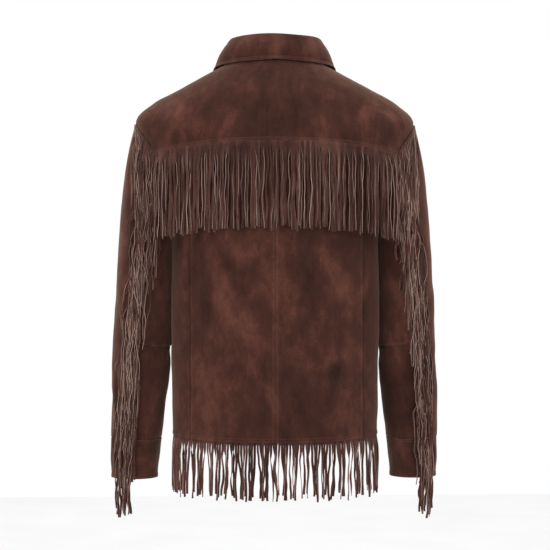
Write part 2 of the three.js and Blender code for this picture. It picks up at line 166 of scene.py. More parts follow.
def unit(v):
    return v / np.maximum(np.linalg.norm(v, axis=-1, keepdims=True), 1e-9)


def ease(t):
    t = np.clip(t, 0, 1)
    return t * t * (3 - 2 * t)


def bump_at(distance, centre, width):
    return np.exp(-(((distance - centre) / width) ** 2))


# ---------------------------------------------------------------- the garment's surfaces
def tilted_ring(size, angle):
    """0 is the centre back, 90 the wearer's left side and 180 the centre front."""
    sine, cosine = np.sin(np.radians(angle)), np.cos(np.radians(angle))
    back = cosine > 0
    end_z = np.where(back, size["back_z"], size["front_z"])
    x = size["half_width"] * squared(sine, size["square"])
    y = np.where(back, size["back_y"], -np.asarray(size["front_y"])) * squared(cosine, size["square"])
    return np.stack([x, y, end_z + (size["side_z"] - end_z) * sine**2], -1)


def body(angle, ring):
    angle, ring = np.broadcast_arrays(np.asarray(angle, float), np.asarray(ring, float))
    return tilted_ring(columns_at(BODY, BODY_COLUMNS, ring), angle)


def armhole_place(turn):
    """The body's angle and ring at a turn round the armhole."""
    middle, half = (ARMHOLE_TOP + ARMHOLE_BOTTOM) / 2, (ARMHOLE_BOTTOM - ARMHOLE_TOP) / 2
    cosine = np.cos(np.radians(turn))
    reach = np.where(cosine > 0, ARMHOLE_BACK, ARMHOLE_FRONT)
    return 90 - reach * cosine, middle - half * np.sin(np.radians(turn))


def armhole_turn(ring):
    """The turn at which the back of the armhole crosses a ring."""
    middle, half = (ARMHOLE_TOP + ARMHOLE_BOTTOM) / 2, (ARMHOLE_BOTTOM - ARMHOLE_TOP) / 2
    return np.degrees(np.arcsin(np.clip((middle - ring) / half, -1, 1)))


def level_ring(turn, index):
    size = columns_at(SLEEVE, SLEEVE_COLUMNS, index)
    sine = squared(np.sin(np.radians(turn)), SLEEVE_SQUARE)
    cosine = squared(np.cos(np.radians(turn)), SLEEVE_SQUARE)
    x = size["x"] + size["half_width"] * sine
    y = size["y"] + size["half_depth"] * cosine
    return np.stack([x, y, size["z"] + 0 * sine], -1)


def sleeve(turn, ring):
    """Ring 0 is the armhole and ring 1 the upper arm, with the sleeve head between them."""
    turn, ring = np.broadcast_arrays(np.asarray(turn, float), np.asarray(ring, float))
    start, end = body(*armhole_place(turn)), level_ring(turn, 0)
    reach = np.linalg.norm(end - start, axis=-1, keepdims=True)
    lean = 0.1 * np.cos(np.radians(turn))
    leave = unit(np.stack([0 * lean + SLEEVE_TOP_SLOPE, lean, 0 * lean - 1], -1)) * reach
    arrive = unit(level_ring(turn, 0.2) - end) * reach
    t = np.minimum(ring, 1)[..., None]
    s = 1 - t
    head = start * s * s * (1 + 2 * t) + end * t * t * (3 - 2 * t) + leave * t * s * s - arrive * t * t * s
    return np.where(ring[..., None] >= 1, level_ring(turn, np.maximum(ring - 1, 0)), head)


def outward(surface, turn, down):
    along = surface(turn + 0.4, down) - surface(turn - 0.4, down)
    below = surface(turn, down + 0.01) - surface(turn, down - 0.01)
    return unit(np.cross(along, below))


def fold_point(angle):
    return tilted_ring(COLLAR_FOLD, angle)


def collar_stand(angle, down):
    down = np.asarray(down, float)[..., None]
    return fold_point(angle) * (1 - down) + body(angle, 0) * down


def collar_fall(angle, down):
    angle, down = np.broadcast_arrays(np.asarray(angle, float), np.asarray(down, float))
    fold = fold_point(angle)
    out = unit(fold * (1, 1, 0))
    turn = np.sign(angle) * np.interp(np.abs(angle), COLLAR_EDGE_FOLD, COLLAR_EDGE_ANGLE)
    ring = np.interp(np.abs(angle), COLLAR_EDGE_FOLD, COLLAR_EDGE_RING)
    edge = body(turn, ring) + outward(body, turn, ring) * (COLLAR_WALL + COLLAR_LIFT)
    top = fold + (0, 0, COLLAR_WALL + 1)
    roll = fold + out * COLLAR_ROLL
    middle = (roll + edge) / 2 + out * COLLAR_BELLY
    curve = np.stack([top, roll, middle, edge])
    i = np.clip(np.floor(down).astype(int), 0, 2)
    t = (down - i)[..., None]
    slope = np.gradient(curve, axis=0)
    pick = lambda a, k: np.take_along_axis(a, k[None, ..., None], 0)[0]
    h = t * t * (3 - 2 * t)
    value = pick(curve, i) * (1 - h) + pick(curve, i + 1) * h
    return value + pick(slope, i) * t * (1 - t) ** 2 - pick(slope, i + 1) * t * t * (1 - t)


# ---------------------------------------------------------------- where the panels end
CORNER_TURN = float(armhole_turn(YOKE_RING))
CORNER_ANGLE = float(armhole_place(CORNER_TURN)[0])
FRONT_CORNER_TURN = 180 - math.degrees(math.acos((SHOULDER_SEAM - 90) / ARMHOLE_FRONT))
SLEEVE_FRONT_TURN = FRONT_CORNER_TURN + 3 / 8 * (270 - FRONT_CORNER_TURN)


def angle_at(across, ring):
    size = columns_at(BODY, BODY_COLUMNS, ring)
    return np.degrees(np.arcsin((across / size["half_width"]) ** (size["square"] / 2)))


def back_edge_angle(ring):
    return np.where(ring >= ARMHOLE_BOTTOM, 90, armhole_place(armhole_turn(ring))[0])


def front_edge_angle(ring):
    corner = armhole_place(FRONT_CORNER_TURN)[1]
    return np.where(
        ring >= ARMHOLE_BOTTOM,
        90,
        np.where(ring <= corner, SHOULDER_SEAM, armhole_place(180 - armhole_turn(ring))[0]),
    )


def lengths(points):
    """Distance along a line of points, from its first."""
    return np.concatenate([[0], np.cumsum(np.linalg.norm(np.diff(points, axis=0), axis=1))])


def marks(line, low, high, step=GRID, fine=(True, True)):
    """Values from low to high, evenly spaced along line(value), and closer beside a seam at either end."""
    value = np.linspace(low, high, 500)
    at = lengths(line(value))
    total = at[-1]
    near = np.array(EDGE_MARKS)
    start = near[near < total / 2] if fine[0] else np.array([0.0])
    end = total - near[near < total / 2][::-1] if fine[1] else np.array([total])
    between = np.linspace(start[-1], end[0], max(2, round((end[0] - start[-1]) / step) + 1))[1:-1]
    return np.interp(np.concatenate([start, between, end]), at, value)


def joined(*lists):
    """Runs of values that share their end values, as one list."""
    return np.concatenate([lists[0], *[values[1:] for values in lists[1:]]])


# ---------------------------------------------------------------- relief: creases, seams and stitch lines
def crease_relief(across, down, creases):
    """Soft troughs and ridges. Each runs between two places, bows to one side and fades at its ends."""
    relief = np.zeros(np.shape(across))
    share = np.linspace(0, 1, 14)
    for start, end, height, width, bow in creases:
        a, b = np.array(start, float), np.array(end, float)
        side = np.array([a[1] - b[1], b[0] - a[0]]) / np.linalg.norm(b - a)
        line = a + (b - a) * share[:, None] + side * (bow * 4 * share * (1 - share))[:, None]
        reach = 3 * width + abs(bow)
        low, high = line.min(0) - reach, line.max(0) + reach
        near = (across > low[0]) & (across < high[0]) & (down > low[1]) & (down < high[1])
        p = np.stack([across[near], down[near]], -1)
        if not len(p):
            continue
        best, at = np.full(len(p), 1e9), np.zeros(len(p))
        for k in range(len(line) - 1):
            d = line[k + 1] - line[k]
            t = np.clip(((p - line[k]) @ d) / (d @ d), 0, 1)
            gap = np.linalg.norm(p - line[k] - t[:, None] * d, axis=1)
            closer = gap < best
            best = np.where(closer, gap, best)
            at = np.where(closer, (k + t) / (len(line) - 1), at)
        fade = np.sin(np.pi * np.clip(at * 0.96 + 0.02, 0, 1)) ** 0.7
        relief[near] += height * fade * np.exp(-((best / width) ** 2))
    return relief


class Waves:
    """Gentle seeded unevenness: a few long waves over two coordinates."""

    def __init__(self, seed, length, count=7):
        r = np.random.default_rng(seed)
        heading = r.uniform(0, 2 * np.pi, count)
        size = r.uniform(0.7, 1.6, count) * 2 * np.pi / length
        self.k = np.stack([np.cos(heading), np.sin(heading)]) * size
        self.phase = r.uniform(0, 2 * np.pi, count)

    def __call__(self, a, b):
        total = sum(np.sin(a * kx + b * ky + p) for kx, ky, p in zip(*self.k, self.phase))
        return total / math.sqrt(len(self.phase))


# Creases of the back: (x, z) to (x, z), height, width and bow, in mm. A trough has a negative height.
BACK_CREASES = [
    ((96, -345), (128, -470), 2.2, 15, 8),
    ((74, -380), (98, -500), -1.8, 13, -6),
    ((120, -500), (100, -640), 2.0, 18, 10),
    ((40, -560), (84, -590), -1.6, 9, 4),
    ((22, -545), (58, -556), 1.2, 6, 3),
    ((-16, -372), (-46, -500), 1.7, 8, -4),
    ((-30, -390), (-62, -520), -1.5, 10, -6),
    ((-74, -530), (-148, -543), 1.9, 9, 2),
    ((-66, -545), (-150, -556), -2.6, 7, 2),
    ((-40, -560), (-110, -640), 1.8, 16, -8),
    ((-100, -400), (-120, -500), 1.4, 17, 8),
    ((150, -340), (168, -430), 1.4, 10, 4),
    ((176, -350), (160, -470), 1.8, 11, -5),
    ((-148, -336), (-168, -436), 1.4, 10, -4),
    ((-172, -380), (-160, -500), 1.8, 10, 4),
    ((165, -560), (176, -660), 1.4, 10, 3),
    ((-165, -540), (-178, -650), 1.5, 11, -3),
    ((118, -672), (60, -664), 1.0, 7, 3),
    ((-60, -668), (-130, -660), 1.0, 8, -3),
]
# Creases of the yoke, seen from behind: (x, z) again.
YOKE_CREASES = [
    ((120, -60), (196, -120), 1.5, 14, 8),
    ((-120, -58), (-200, -118), 1.6, 14, -8),
    ((40, -40), (84, -110), -1.0, 16, 6),
    ((-46, -44), (-96, -112), -1.0, 16, -6),
    ((10, -60), (-8, -130), 0.9, 14, 4),
    ((190, -90), (224, -140), -1.4, 9, 4),
    ((-192, -88), (-226, -138), -1.4, 9, -4),
]
# Creases of the fronts.
FRONT_CREASES = [
    ((150, -240), (70, -330), -2.8, 14, 10),
    ((158, -270), (92, -400), 2.2, 14, 12),
    ((-150, -236), (-74, -340), -2.6, 15, -10),
    ((-160, -280), (-96, -410), 2.2, 15, -12),
    ((60, -420), (96, -560), 1.9, 16, 8),
    ((-56, -430), (-88, -560), 1.7, 17, -8),
    ((120, -480), (132, -620), -1.9, 13, 6),
    ((-124, -470), (-138, -610), -1.8, 13, -6),
    ((40, -130), (110, -175), 1.4, 13, 6),
    ((-42, -134), (-112, -172), 1.4, 13, -6),
    ((40, -590), (70, -660), 1.3, 11, 4),
    ((-46, -600), (-84, -664), 1.3, 12, -4),
]
# Creases of a sleeve: (degrees round from the back, z).
SLEEVE_CREASES = {
    1: [
        ((300, -395), (352, -428), -2.8, 8, 5),
        ((296, -420), (345, -446), 2.2, 8, 4),
        ((290, -455), (340, -470), -2.0, 8, 4),
        ((298, -478), (350, -492), 1.6, 8, 3),
        ((130, -430), (215, -468), -3.2, 9, 8),
        ((140, -470), (222, -500), 2.6, 9, 6),
        ((135, -505), (215, -530), -2.8, 9, 5),
        ((60, -380), (40, -470), 1.8, 12, 4),
        ((80, -520), (58, -640), 1.6, 13, 5),
        ((300, -560), (330, -640), 1.8, 12, 5),
        ((250, -520), (300, -556), -1.8, 9, 4),
        ((110, -240), (150, -330), 1.8, 14, 5),
        ((300, -330), (335, -372), 2.0, 10, 4),
        ((70, -600), (120, -660), -1.8, 11, 4),
    ],
    -1: [
        ((298, -360), (345, -400), -2.6, 9, 5),
        ((302, -398), (350, -426), 2.4, 9, 4),
        ((292, -440), (342, -470), -2.2, 9, 5),
        ((300, -470), (352, -500), 2.0, 9, 3),
        ((128, -440), (214, -474), -3.0, 9, 8),
        ((138, -478), (220, -508), 2.6, 9, 6),
        ((132, -515), (212, -540), -2.6, 9, 5),
        ((70, -400), (46, -500), 1.9, 12, 4),
        ((64, -540), (84, -650), 1.7, 13, 5),
        ((296, -570), (328, -650), 1.9, 12, 5),
        ((105, -250), (150, -340), 1.8, 14, 5),
        ((252, -526), (302, -560), -1.7, 9, 4),
    ],
}


# Painted light and shade with some brushed nap: patches lighter on the back's crease ridges and the yoke's
# lit side, darker in the troughs: x, z, half width, half height, lean, strength.
PAINTED_LIGHT_AND_NAP_PATCHES = [
    (92, -430, 22, 60, 0.35, 0.75),
    (112, -585, 24, 46, -0.1, 0.7),
    (70, -350, 30, 22, 0.0, 0.35),
    (60, -480, 26, 34, 0.2, 0.3),
    (128, -440, 14, 46, 0.2, -0.6),
    (86, -372, 16, 14, 0.3, -0.5),
    (44, -600, 30, 24, 0.2, 0.35),
    (24, -640, 20, 30, 0.0, -0.25),
    (-32, -430, 8, 62, -0.25, 0.4),
    (-60, -420, 24, 60, 0.0, -0.35),
    (-110, -410, 34, 46, 0.2, 0.35),
    (-112, -528, 32, 12, 0.05, 0.5),
    (-104, -562, 36, 12, 0.05, -0.65),
    (-44, -610, 26, 34, 0.2, -0.35),
    (-96, -640, 40, 18, 0.0, 0.3),
    (-24, -560, 14, 40, 0.0, 0.2),
    (150, -120, 46, 30, 0.5, 0.5),
    (190, -100, 24, 26, 0.4, 0.45),
    (60, -90, 34, 22, 0.2, -0.2),
    (-30, -110, 60, 30, 0.0, -0.35),
    (-130, -110, 40, 24, -0.3, 0.12),
    (-206, -98, 14, 20, -0.3, 0.3),
    (20, -60, 50, 14, 0.0, 0.2),
]


# Painted light and shade, with some brushed nap, from the patches above.
def nap_patches(x, z):
    total = np.zeros(np.shape(x))
    for px, pz, half_width, half_height, lean, strength in PAINTED_LIGHT_AND_NAP_PATCHES:
        across = x - px - lean * (z - pz)
        total += strength * np.exp(-((across / half_width) ** 2) - ((z - pz) / half_height) ** 2)
    return total


# ---------------------------------------------------------------- meshes
def new_object(name, points, faces, materials, face_materials=None, **attributes):
    """A mesh object from points in mm and quads. Attributes are one number for each point."""
    mesh = bpy.data.meshes.new(name)
    faces = np.asarray(faces, np.int32)
    mesh.vertices.add(len(points))
    mesh.vertices.foreach_set("co", (np.asarray(points, float) * MM).astype(np.float32).ravel())
    mesh.loops.add(faces.size)
    mesh.loops.foreach_set("vertex_index", faces.ravel())
    mesh.polygons.add(len(faces))
    mesh.polygons.foreach_set("loop_start", np.arange(0, faces.size, faces.shape[1], dtype=np.int32))
    mesh.polygons.foreach_set("use_smooth", np.full(len(faces), True))
    for material in materials:
        mesh.materials.append(material)
    if face_materials is not None:
        mesh.polygons.foreach_set("material_index", np.asarray(face_materials, np.int32))
    for attribute, values in attributes.items():
        layer = mesh.attributes.new(attribute, "FLOAT", "POINT")
        layer.data.foreach_set("value", np.asarray(values, np.float32).ravel())
    mesh.update(calc_edges=True)
    mesh.validate()
    obj = bpy.data.objects.new(name, mesh)
    bpy.context.scene.collection.objects.link(obj)
    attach(obj, "root")
    return obj


class Panel:
    """A shell of suede on a surface, with each point's outward side and its distance to the borders."""

    def __init__(self, surface, turn, down, side=1, gap=(SEAM, SEAM, SEAM, SEAM)):
        self.turn, self.down, self.side = turn, down, side
        points, normal = surface(turn, down), outward(surface, turn, down)
        steps_across = np.linalg.norm(np.diff(points, axis=1), axis=2)
        steps_down = np.linalg.norm(np.diff(points, axis=0), axis=2)
        zero_column, zero_row = np.zeros((len(points), 1)), np.zeros((1, points.shape[1]))
        self.left = np.concatenate([zero_column, np.cumsum(steps_across, 1)], 1)
        self.top = np.concatenate([zero_row, np.cumsum(steps_down, 0)], 0)
        self.right = self.left[:, -1:] - self.left
        self.bottom = self.top[-1:] - self.top
        along, below = unit(np.gradient(points, axis=1)), unit(np.gradient(points, axis=0))
        self.rim = np.zeros_like(points)  # which way a border faces
        self.rim[0] -= unit(np.cross(normal, along))[0]
        self.rim[-1] -= unit(np.cross(along, normal))[-1]
        self.rim[:, 0] -= unit(np.cross(below, normal))[:, 0]
        self.rim[:, -1] -= unit(np.cross(normal, below))[:, -1]
        pull = np.zeros(points.shape[:2])
        pull[0], pull[-1] = gap[0] / 2 + RIM, gap[1] / 2 + RIM
        pull[:, 0], pull[:, -1] = gap[2] / 2 + RIM, gap[3] / 2 + RIM
        points = points - self.rim * pull[..., None]
        if side < 0:
            points, normal, self.rim = points * (-1, 1, 1), normal * (-1, 1, 1), self.rim * (-1, 1, 1)
        self.form, self.normal = points, normal
        self.x, self.z = points[..., 0], points[..., 2]
        a, b = np.diff(points, axis=1)[:-1], np.diff(points, axis=0)[:, :-1]
        self.area = float(np.linalg.norm(np.cross(a, b), axis=2).sum()) * MM * MM
        self.size = (float(self.left[:, -1].max()) * MM, float(self.top[-1].max()) * MM)

    def raise_by(self, relief):
        self.points = self.form + self.normal * np.asarray(relief)[..., None]

    def build(self, name, materials, nap, wall=WALL):
        """The outer face, the inner face and a rounded rim, as one closed mesh."""
        wall = np.broadcast_to(np.asarray(wall, float), self.x.shape)
        inner = self.points - self.normal * wall[..., None]
        rows, columns = self.x.shape
        number = np.arange(rows * columns).reshape(rows, columns)
        corners = number[:-1, 1:], number[1:, 1:], number[1:, :-1], number[:-1, :-1]
        cells = np.stack(corners, -1).reshape(-1, 4)
        border = np.concatenate([number[0, :-1], number[:-1, -1], number[-1, :0:-1], number[:0:-1, 0]])
        behind, middle = rows * columns, 2 * rows * columns
        rim = unit(self.rim.reshape(-1, 3)[border])
        edge = (self.points.reshape(-1, 3)[border] + inner.reshape(-1, 3)[border]) / 2 + rim * RIM
        ring = middle + np.arange(len(border))
        following = np.roll(border, -1), np.roll(ring, -1)
        faces = np.concatenate(
            [
                cells,
                cells[:, ::-1] + behind,
                np.stack([border, following[0], following[1], ring], -1),
                np.stack([ring, following[1], following[0] + behind, border + behind], -1),
            ]
        )
        points = np.concatenate([self.points.reshape(-1, 3), inner.reshape(-1, 3), edge])
        flat_nap = np.asarray(nap, float).ravel()
        # The inner face takes a third of the outer face's values, painted light and shade included, and is
        # 0.15 darker; the rim, the pale cut edge, is 0.25 lighter.
        values = np.concatenate([flat_nap, flat_nap * 0.3 - 0.15, flat_nap[border] + 0.25])
        if self.side < 0:
            faces = faces[:, ::-1]
        return new_object(name, points, faces, materials, nap=values)

    def line(self, border, distance):
        """The points and outward sides of the line at a distance from a border."""
        away = getattr(self, border)
        across = border in ("left", "right")
        grids = (self.points, self.normal)
        grids = grids if across else tuple(grid.swapaxes(0, 1) for grid in grids)
        away = away if across else away.T
        found = []
        for grid in grids:
            lines = []
            for distances, row in zip(away, grid):
                order = np.argsort(distances)
                lines.append([np.interp(distance, distances[order], row[order, k]) for k in range(3)])
            found.append(np.array(lines))
        return found


# ---------------------------------------------------------------- materials
NAP_STRETCH = (1, 1, 0.55)  # brushed down, so its patches are taller than wide


def node_of(tree, kind, **values):
    node = tree.nodes.new(kind)
    for key, value in values.items():
        if key in node.inputs:
            node.inputs[key].default_value = value
        else:
            setattr(node, key, value)
    return node


def noise(tree, coordinates, scale, detail, rough=0.55, distortion=0.0):
    values = {"Scale": scale, "Detail": detail, "Roughness": rough, "Distortion": distortion}
    n = node_of(tree, "ShaderNodeTexNoise", **values)
    tree.links.new(coordinates, n.inputs["Vector"])
    return n.outputs["Fac"]


def sum_of(tree, *terms):
    """A weighted sum: each term is (socket, weight, centre)."""
    total = None
    for socket, weight, centre in terms:
        m = node_of(tree, "ShaderNodeMath", operation="MULTIPLY_ADD")
        tree.links.new(socket, m.inputs[0])
        m.inputs[1].default_value = weight
        m.inputs[2].default_value = -weight * centre
        if total is not None:
            tree.links.new(total, m.inputs[2])
            off = node_of(tree, "ShaderNodeMath", operation="ADD")
            tree.links.new(m.outputs[0], off.inputs[0])
            off.inputs[1].default_value = -weight * centre
            total = off.outputs[0]
        else:
            total = m.outputs[0]
    return total


def suede(name, dark, middle, light, sheen, contrast=1.0):
    """Napped suede: painted light and shade and brushed patches from each point's values, mottling, grain,
    and a soft glow at glancing angles.
    """
    material = bpy.data.materials.new(name)
    material.use_nodes = True
    tree = material.node_tree
    shader = tree.nodes["Principled BSDF"]
    place = tree.nodes.new("ShaderNodeTexCoord").outputs["Object"]
    brushed = node_of(tree, "ShaderNodeMapping", Scale=NAP_STRETCH)
    tree.links.new(place, brushed.inputs["Vector"])
    wide = noise(tree, brushed.outputs[0], 14, 4, 0.6, 0.6)
    medium = noise(tree, brushed.outputs[0], 60, 4, 0.6, 0.4)
    small = noise(tree, place, 330, 3, 0.6)
    fibre = noise(tree, place, 1900, 2, 0.6)
    # Each point's values: painted highlights along seams and edges, patches of painted light and shade, and
    # tone.
    painted = node_of(tree, "ShaderNodeAttribute", attribute_name="nap")
    tone = sum_of(
        tree,
        (wide, 1.25 * contrast, 0.5),
        (medium, 0.75 * contrast, 0.5),
        (small, 0.35, 0.5),
        (fibre, 0.25, 0.5),
        (painted.outputs["Fac"], 0.38, -1.3),
    )
    ramp = tree.nodes.new("ShaderNodeValToRGB")
    ramp.color_ramp.elements[0].position, ramp.color_ramp.elements[0].color = 0.1, (*dark, 1)
    ramp.color_ramp.elements[1].position, ramp.color_ramp.elements[1].color = 0.95, (*light, 1)
    ramp.color_ramp.elements.new(0.5).color = (*middle, 1)
    tree.links.new(tone, ramp.inputs["Fac"])
    tree.links.new(ramp.outputs["Color"], shader.inputs["Base Color"])
    shader.inputs["Roughness"].default_value = 0.95
    shader.inputs["Specular IOR Level"].default_value = 0.12
    shader.inputs["Sheen Weight"].default_value = sheen
    shader.inputs["Sheen Roughness"].default_value = 0.45
    shader.inputs["Sheen Tint"].default_value = (1.0, 0.62, 0.46, 1)
    height = sum_of(tree, (small, 0.6, 0.5), (fibre, 0.5, 0.5), (medium, 0.7, 0.5))
    bump = node_of(tree, "ShaderNodeBump", Strength=0.55, Distance=0.0006)
    tree.links.new(height, bump.inputs["Height"])
    tree.links.new(bump.outputs["Normal"], shader.inputs["Normal"])
    return material


def plain(name, colour, roughness, grain_scale, grain):
    """A plain finish with a little variation: thread, horn or a studio wall."""
    material = bpy.data.materials.new(name)
    material.use_nodes = True
    tree = material.node_tree
    shader = tree.nodes["Principled BSDF"]
    place = tree.nodes.new("ShaderNodeTexCoord").outputs["Object"]
    value = noise(tree, place, grain_scale, 4)
    ramp = tree.nodes.new("ShaderNodeValToRGB")
    ramp.color_ramp.elements[0].position, ramp.color_ramp.elements[1].position = 0.3, 0.7
    ramp.color_ramp.elements[0].color = (*[c * (1 - grain) for c in colour], 1)
    ramp.color_ramp.elements[1].color = (*[min(1, c * (1 + grain)) for c in colour], 1)
    tree.links.new(value, ramp.inputs["Fac"])
    tree.links.new(ramp.outputs["Color"], shader.inputs["Base Color"])
    shader.inputs["Roughness"].default_value = roughness
    height = node_of(tree, "ShaderNodeBump", Strength=0.4, Distance=0.0002)
    tree.links.new(value, height.inputs["Height"])
    tree.links.new(height.outputs["Normal"], shader.inputs["Normal"])
    return material


SUEDE = suede("suede", (0.019, 0.0062, 0.0045), (0.041, 0.0135, 0.0095), (0.092, 0.034, 0.024), sheen=0.22)
FRINGE = suede(
    "fringe_suede", (0.017, 0.0062, 0.0048), (0.046, 0.018, 0.0138), (0.105, 0.048, 0.038), 0.22, contrast=0.8
)
CUT_EDGE = suede(
    "fringe_cut_edge", (0.13, 0.078, 0.062), (0.28, 0.185, 0.155), (0.45, 0.33, 0.28), contrast=0.6, sheen=0.2
)
THREAD = plain("thread", (0.070, 0.027, 0.019), 0.7, 900, 0.3)
HORN = plain("horn", (0.030, 0.013, 0.008), 0.35, 90, 0.5)

# ---------------------------------------------------------------- topstitching
STITCH_PITCH = 3.4
STITCH_LENGTH = 2.7
STITCH_WIDTH = 0.62
stitch_points, stitch_faces = [], []


def stitch_run(points, normals, lift=0.12):
    """A row of stitches along a line on the cloth. Each is a short rounded bar that dips in at both ends."""
    at = lengths(points)
    count = max(1, int(at[-1] / STITCH_PITCH))
    centres = (np.arange(count) + 0.5) * at[-1] / count
    read = lambda grid, s: np.stack([np.interp(s, at, grid[:, k]) for k in range(3)], -1)
    along = unit(read(points, centres + 0.5) - read(points, centres - 0.5))
    normal = unit(read(normals, centres))
    across = unit(np.cross(along, normal))
    centre = read(points, centres) + normal * lift
    stations = ((-0.5, 0.35, -0.35), (-0.3, 1.0, 0.05), (0.3, 1.0, 0.05), (0.5, 0.35, -0.35))
    sides = ((-0.5, 0.0), (-0.25, 0.42), (0.25, 0.42), (0.5, 0.0), (0.0, -0.3))
    rings = []
    for share, size, height in stations:
        middle = centre + along * (share * STITCH_LENGTH) + normal * (height * STITCH_WIDTH)
        rings.append(
            np.stack([middle + (across * a + normal * b) * (STITCH_WIDTH * size) for a, b in sides], axis=1)
        )
    block = np.stack(rings, axis=1).reshape(count, -1, 3)
    n, m = len(sides), len(stations)
    base = sum(len(b) for b in stitch_points)
    one = []
    for r in range(m - 1):
        for k in range(n):
            one.append((r * n + k, r * n + (k + 1) % n, (r + 1) * n + (k + 1) % n, (r + 1) * n + k))
    for r, order in ((0, (4, 3, 2, 1, 0)), (m - 1, (0, 1, 2, 3, 4))):
        a = [r * n + k for k in order]
        one += [(a[0], a[1], a[2], a[3]), (a[0], a[3], a[4], a[4])]
    one = np.array(one)
    stitch_points.append(block.reshape(-1, 3))
    stitch_faces.append((one[None] + (np.arange(count) * n * m)[:, None, None] + base).reshape(-1, 4))


# ---------------------------------------------------------------- panels
LONG_WAVES = Waves(3, 150)
SHORT_WAVES = Waves(5, 46)


def cloth_waves(p):
    return 0.9 * LONG_WAVES(p.x, p.z) + 0.22 * SHORT_WAVES(p.x, p.z)


def seam_dip(distance, depth=0.9, width=2.2):
    return -depth * np.exp(-((distance / width) ** 2))


def lap(distance, width, height=0.8):
    """The raised strip beside a topstitched seam, which ends in the stitch line's trough."""
    return height * ease((width - distance) / 2.5 + 0.5) - 0.5 * bump_at(distance, width, 1.3)


def place_sheet(node):
    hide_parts(node)


def make_yoke():
    ring5 = lambda angle: body(angle, YOKE_RING)
    centre = marks(ring5, 0, CORNER_ANGLE, fine=(False, True))
    end_turns = marks(lambda turn: body(*armhole_place(turn)), CORNER_TURN, FRONT_CORNER_TURN)
    end_angles, end_rings = armhole_place(end_turns)
    half_angles = joined(centre, end_angles)
    half_rings = joined(np.full(len(centre), float(YOKE_RING)), end_rings)
    angles = np.concatenate([-half_angles[:0:-1], half_angles])
    rings = np.concatenate([half_rings[:0:-1], half_rings])
    shares = marks(lambda t: body(40 + 0 * t, t * YOKE_RING), 0, 1)
    down = shares[:, None] * rings
    p = Panel(body, np.broadcast_to(angles, down.shape), down, gap=(1.6, SEAM, SEAM, SEAM))
    on_back = ease((CORNER_ANGLE + 2 - np.abs(p.turn)) / 3)
    back_side = p.form[..., 1] > 0
    creases = crease_relief(p.x, p.z, YOKE_CREASES) * back_side
    relief = creases + 0.6 * cloth_waves(p)
    relief += on_back * (lap(p.bottom, YOKE_STITCH, 1.1) + 0.5 * ease(1 - p.bottom / 12))
    relief += (1 - on_back) * seam_dip(p.bottom, 0.3) + seam_dip(p.left, 0.8) + seam_dip(p.right, 0.8)
    p.raise_by(relief)
    # Painted light: patches of painted light and shade on the yoke's back, and painted highlights along its
    # raised lower edge.
    nap = nap_patches(p.x, p.z) * back_side + 0.35 * bump_at(p.bottom, 3, 2.5) * on_back
    nap += 0.3 * bump_at(p.bottom, 1, 1.5)
    obj = p.build("yoke_cloth", [SUEDE], nap, WALL + 0.8 * on_back * ease(1 - p.bottom / 10))
    line, side = p.line("bottom", YOKE_STITCH)
    keep = np.abs(angles) <= CORNER_ANGLE
    stitch_run(line[keep], side[keep])
    for border in ("left", "right"):
        stitch_run(*p.line(border, SHOULDER_STITCH))
    return p, obj


def back_rows():
    turns = marks(lambda turn: body(*armhole_place(turn)), CORNER_TURN, -90, fine=(True, True))
    above = armhole_place(turns)[1]
    below = marks(lambda ring: body(60 + 0 * ring, ring), ARMHOLE_BOTTOM, HEM_RING, fine=(False, True))
    return joined(above, below)


def hem_fold(p):
    """The turned-up hem: a slightly raised band with its stitch line."""
    return lap(p.bottom, HEM_STITCH, 0.7)


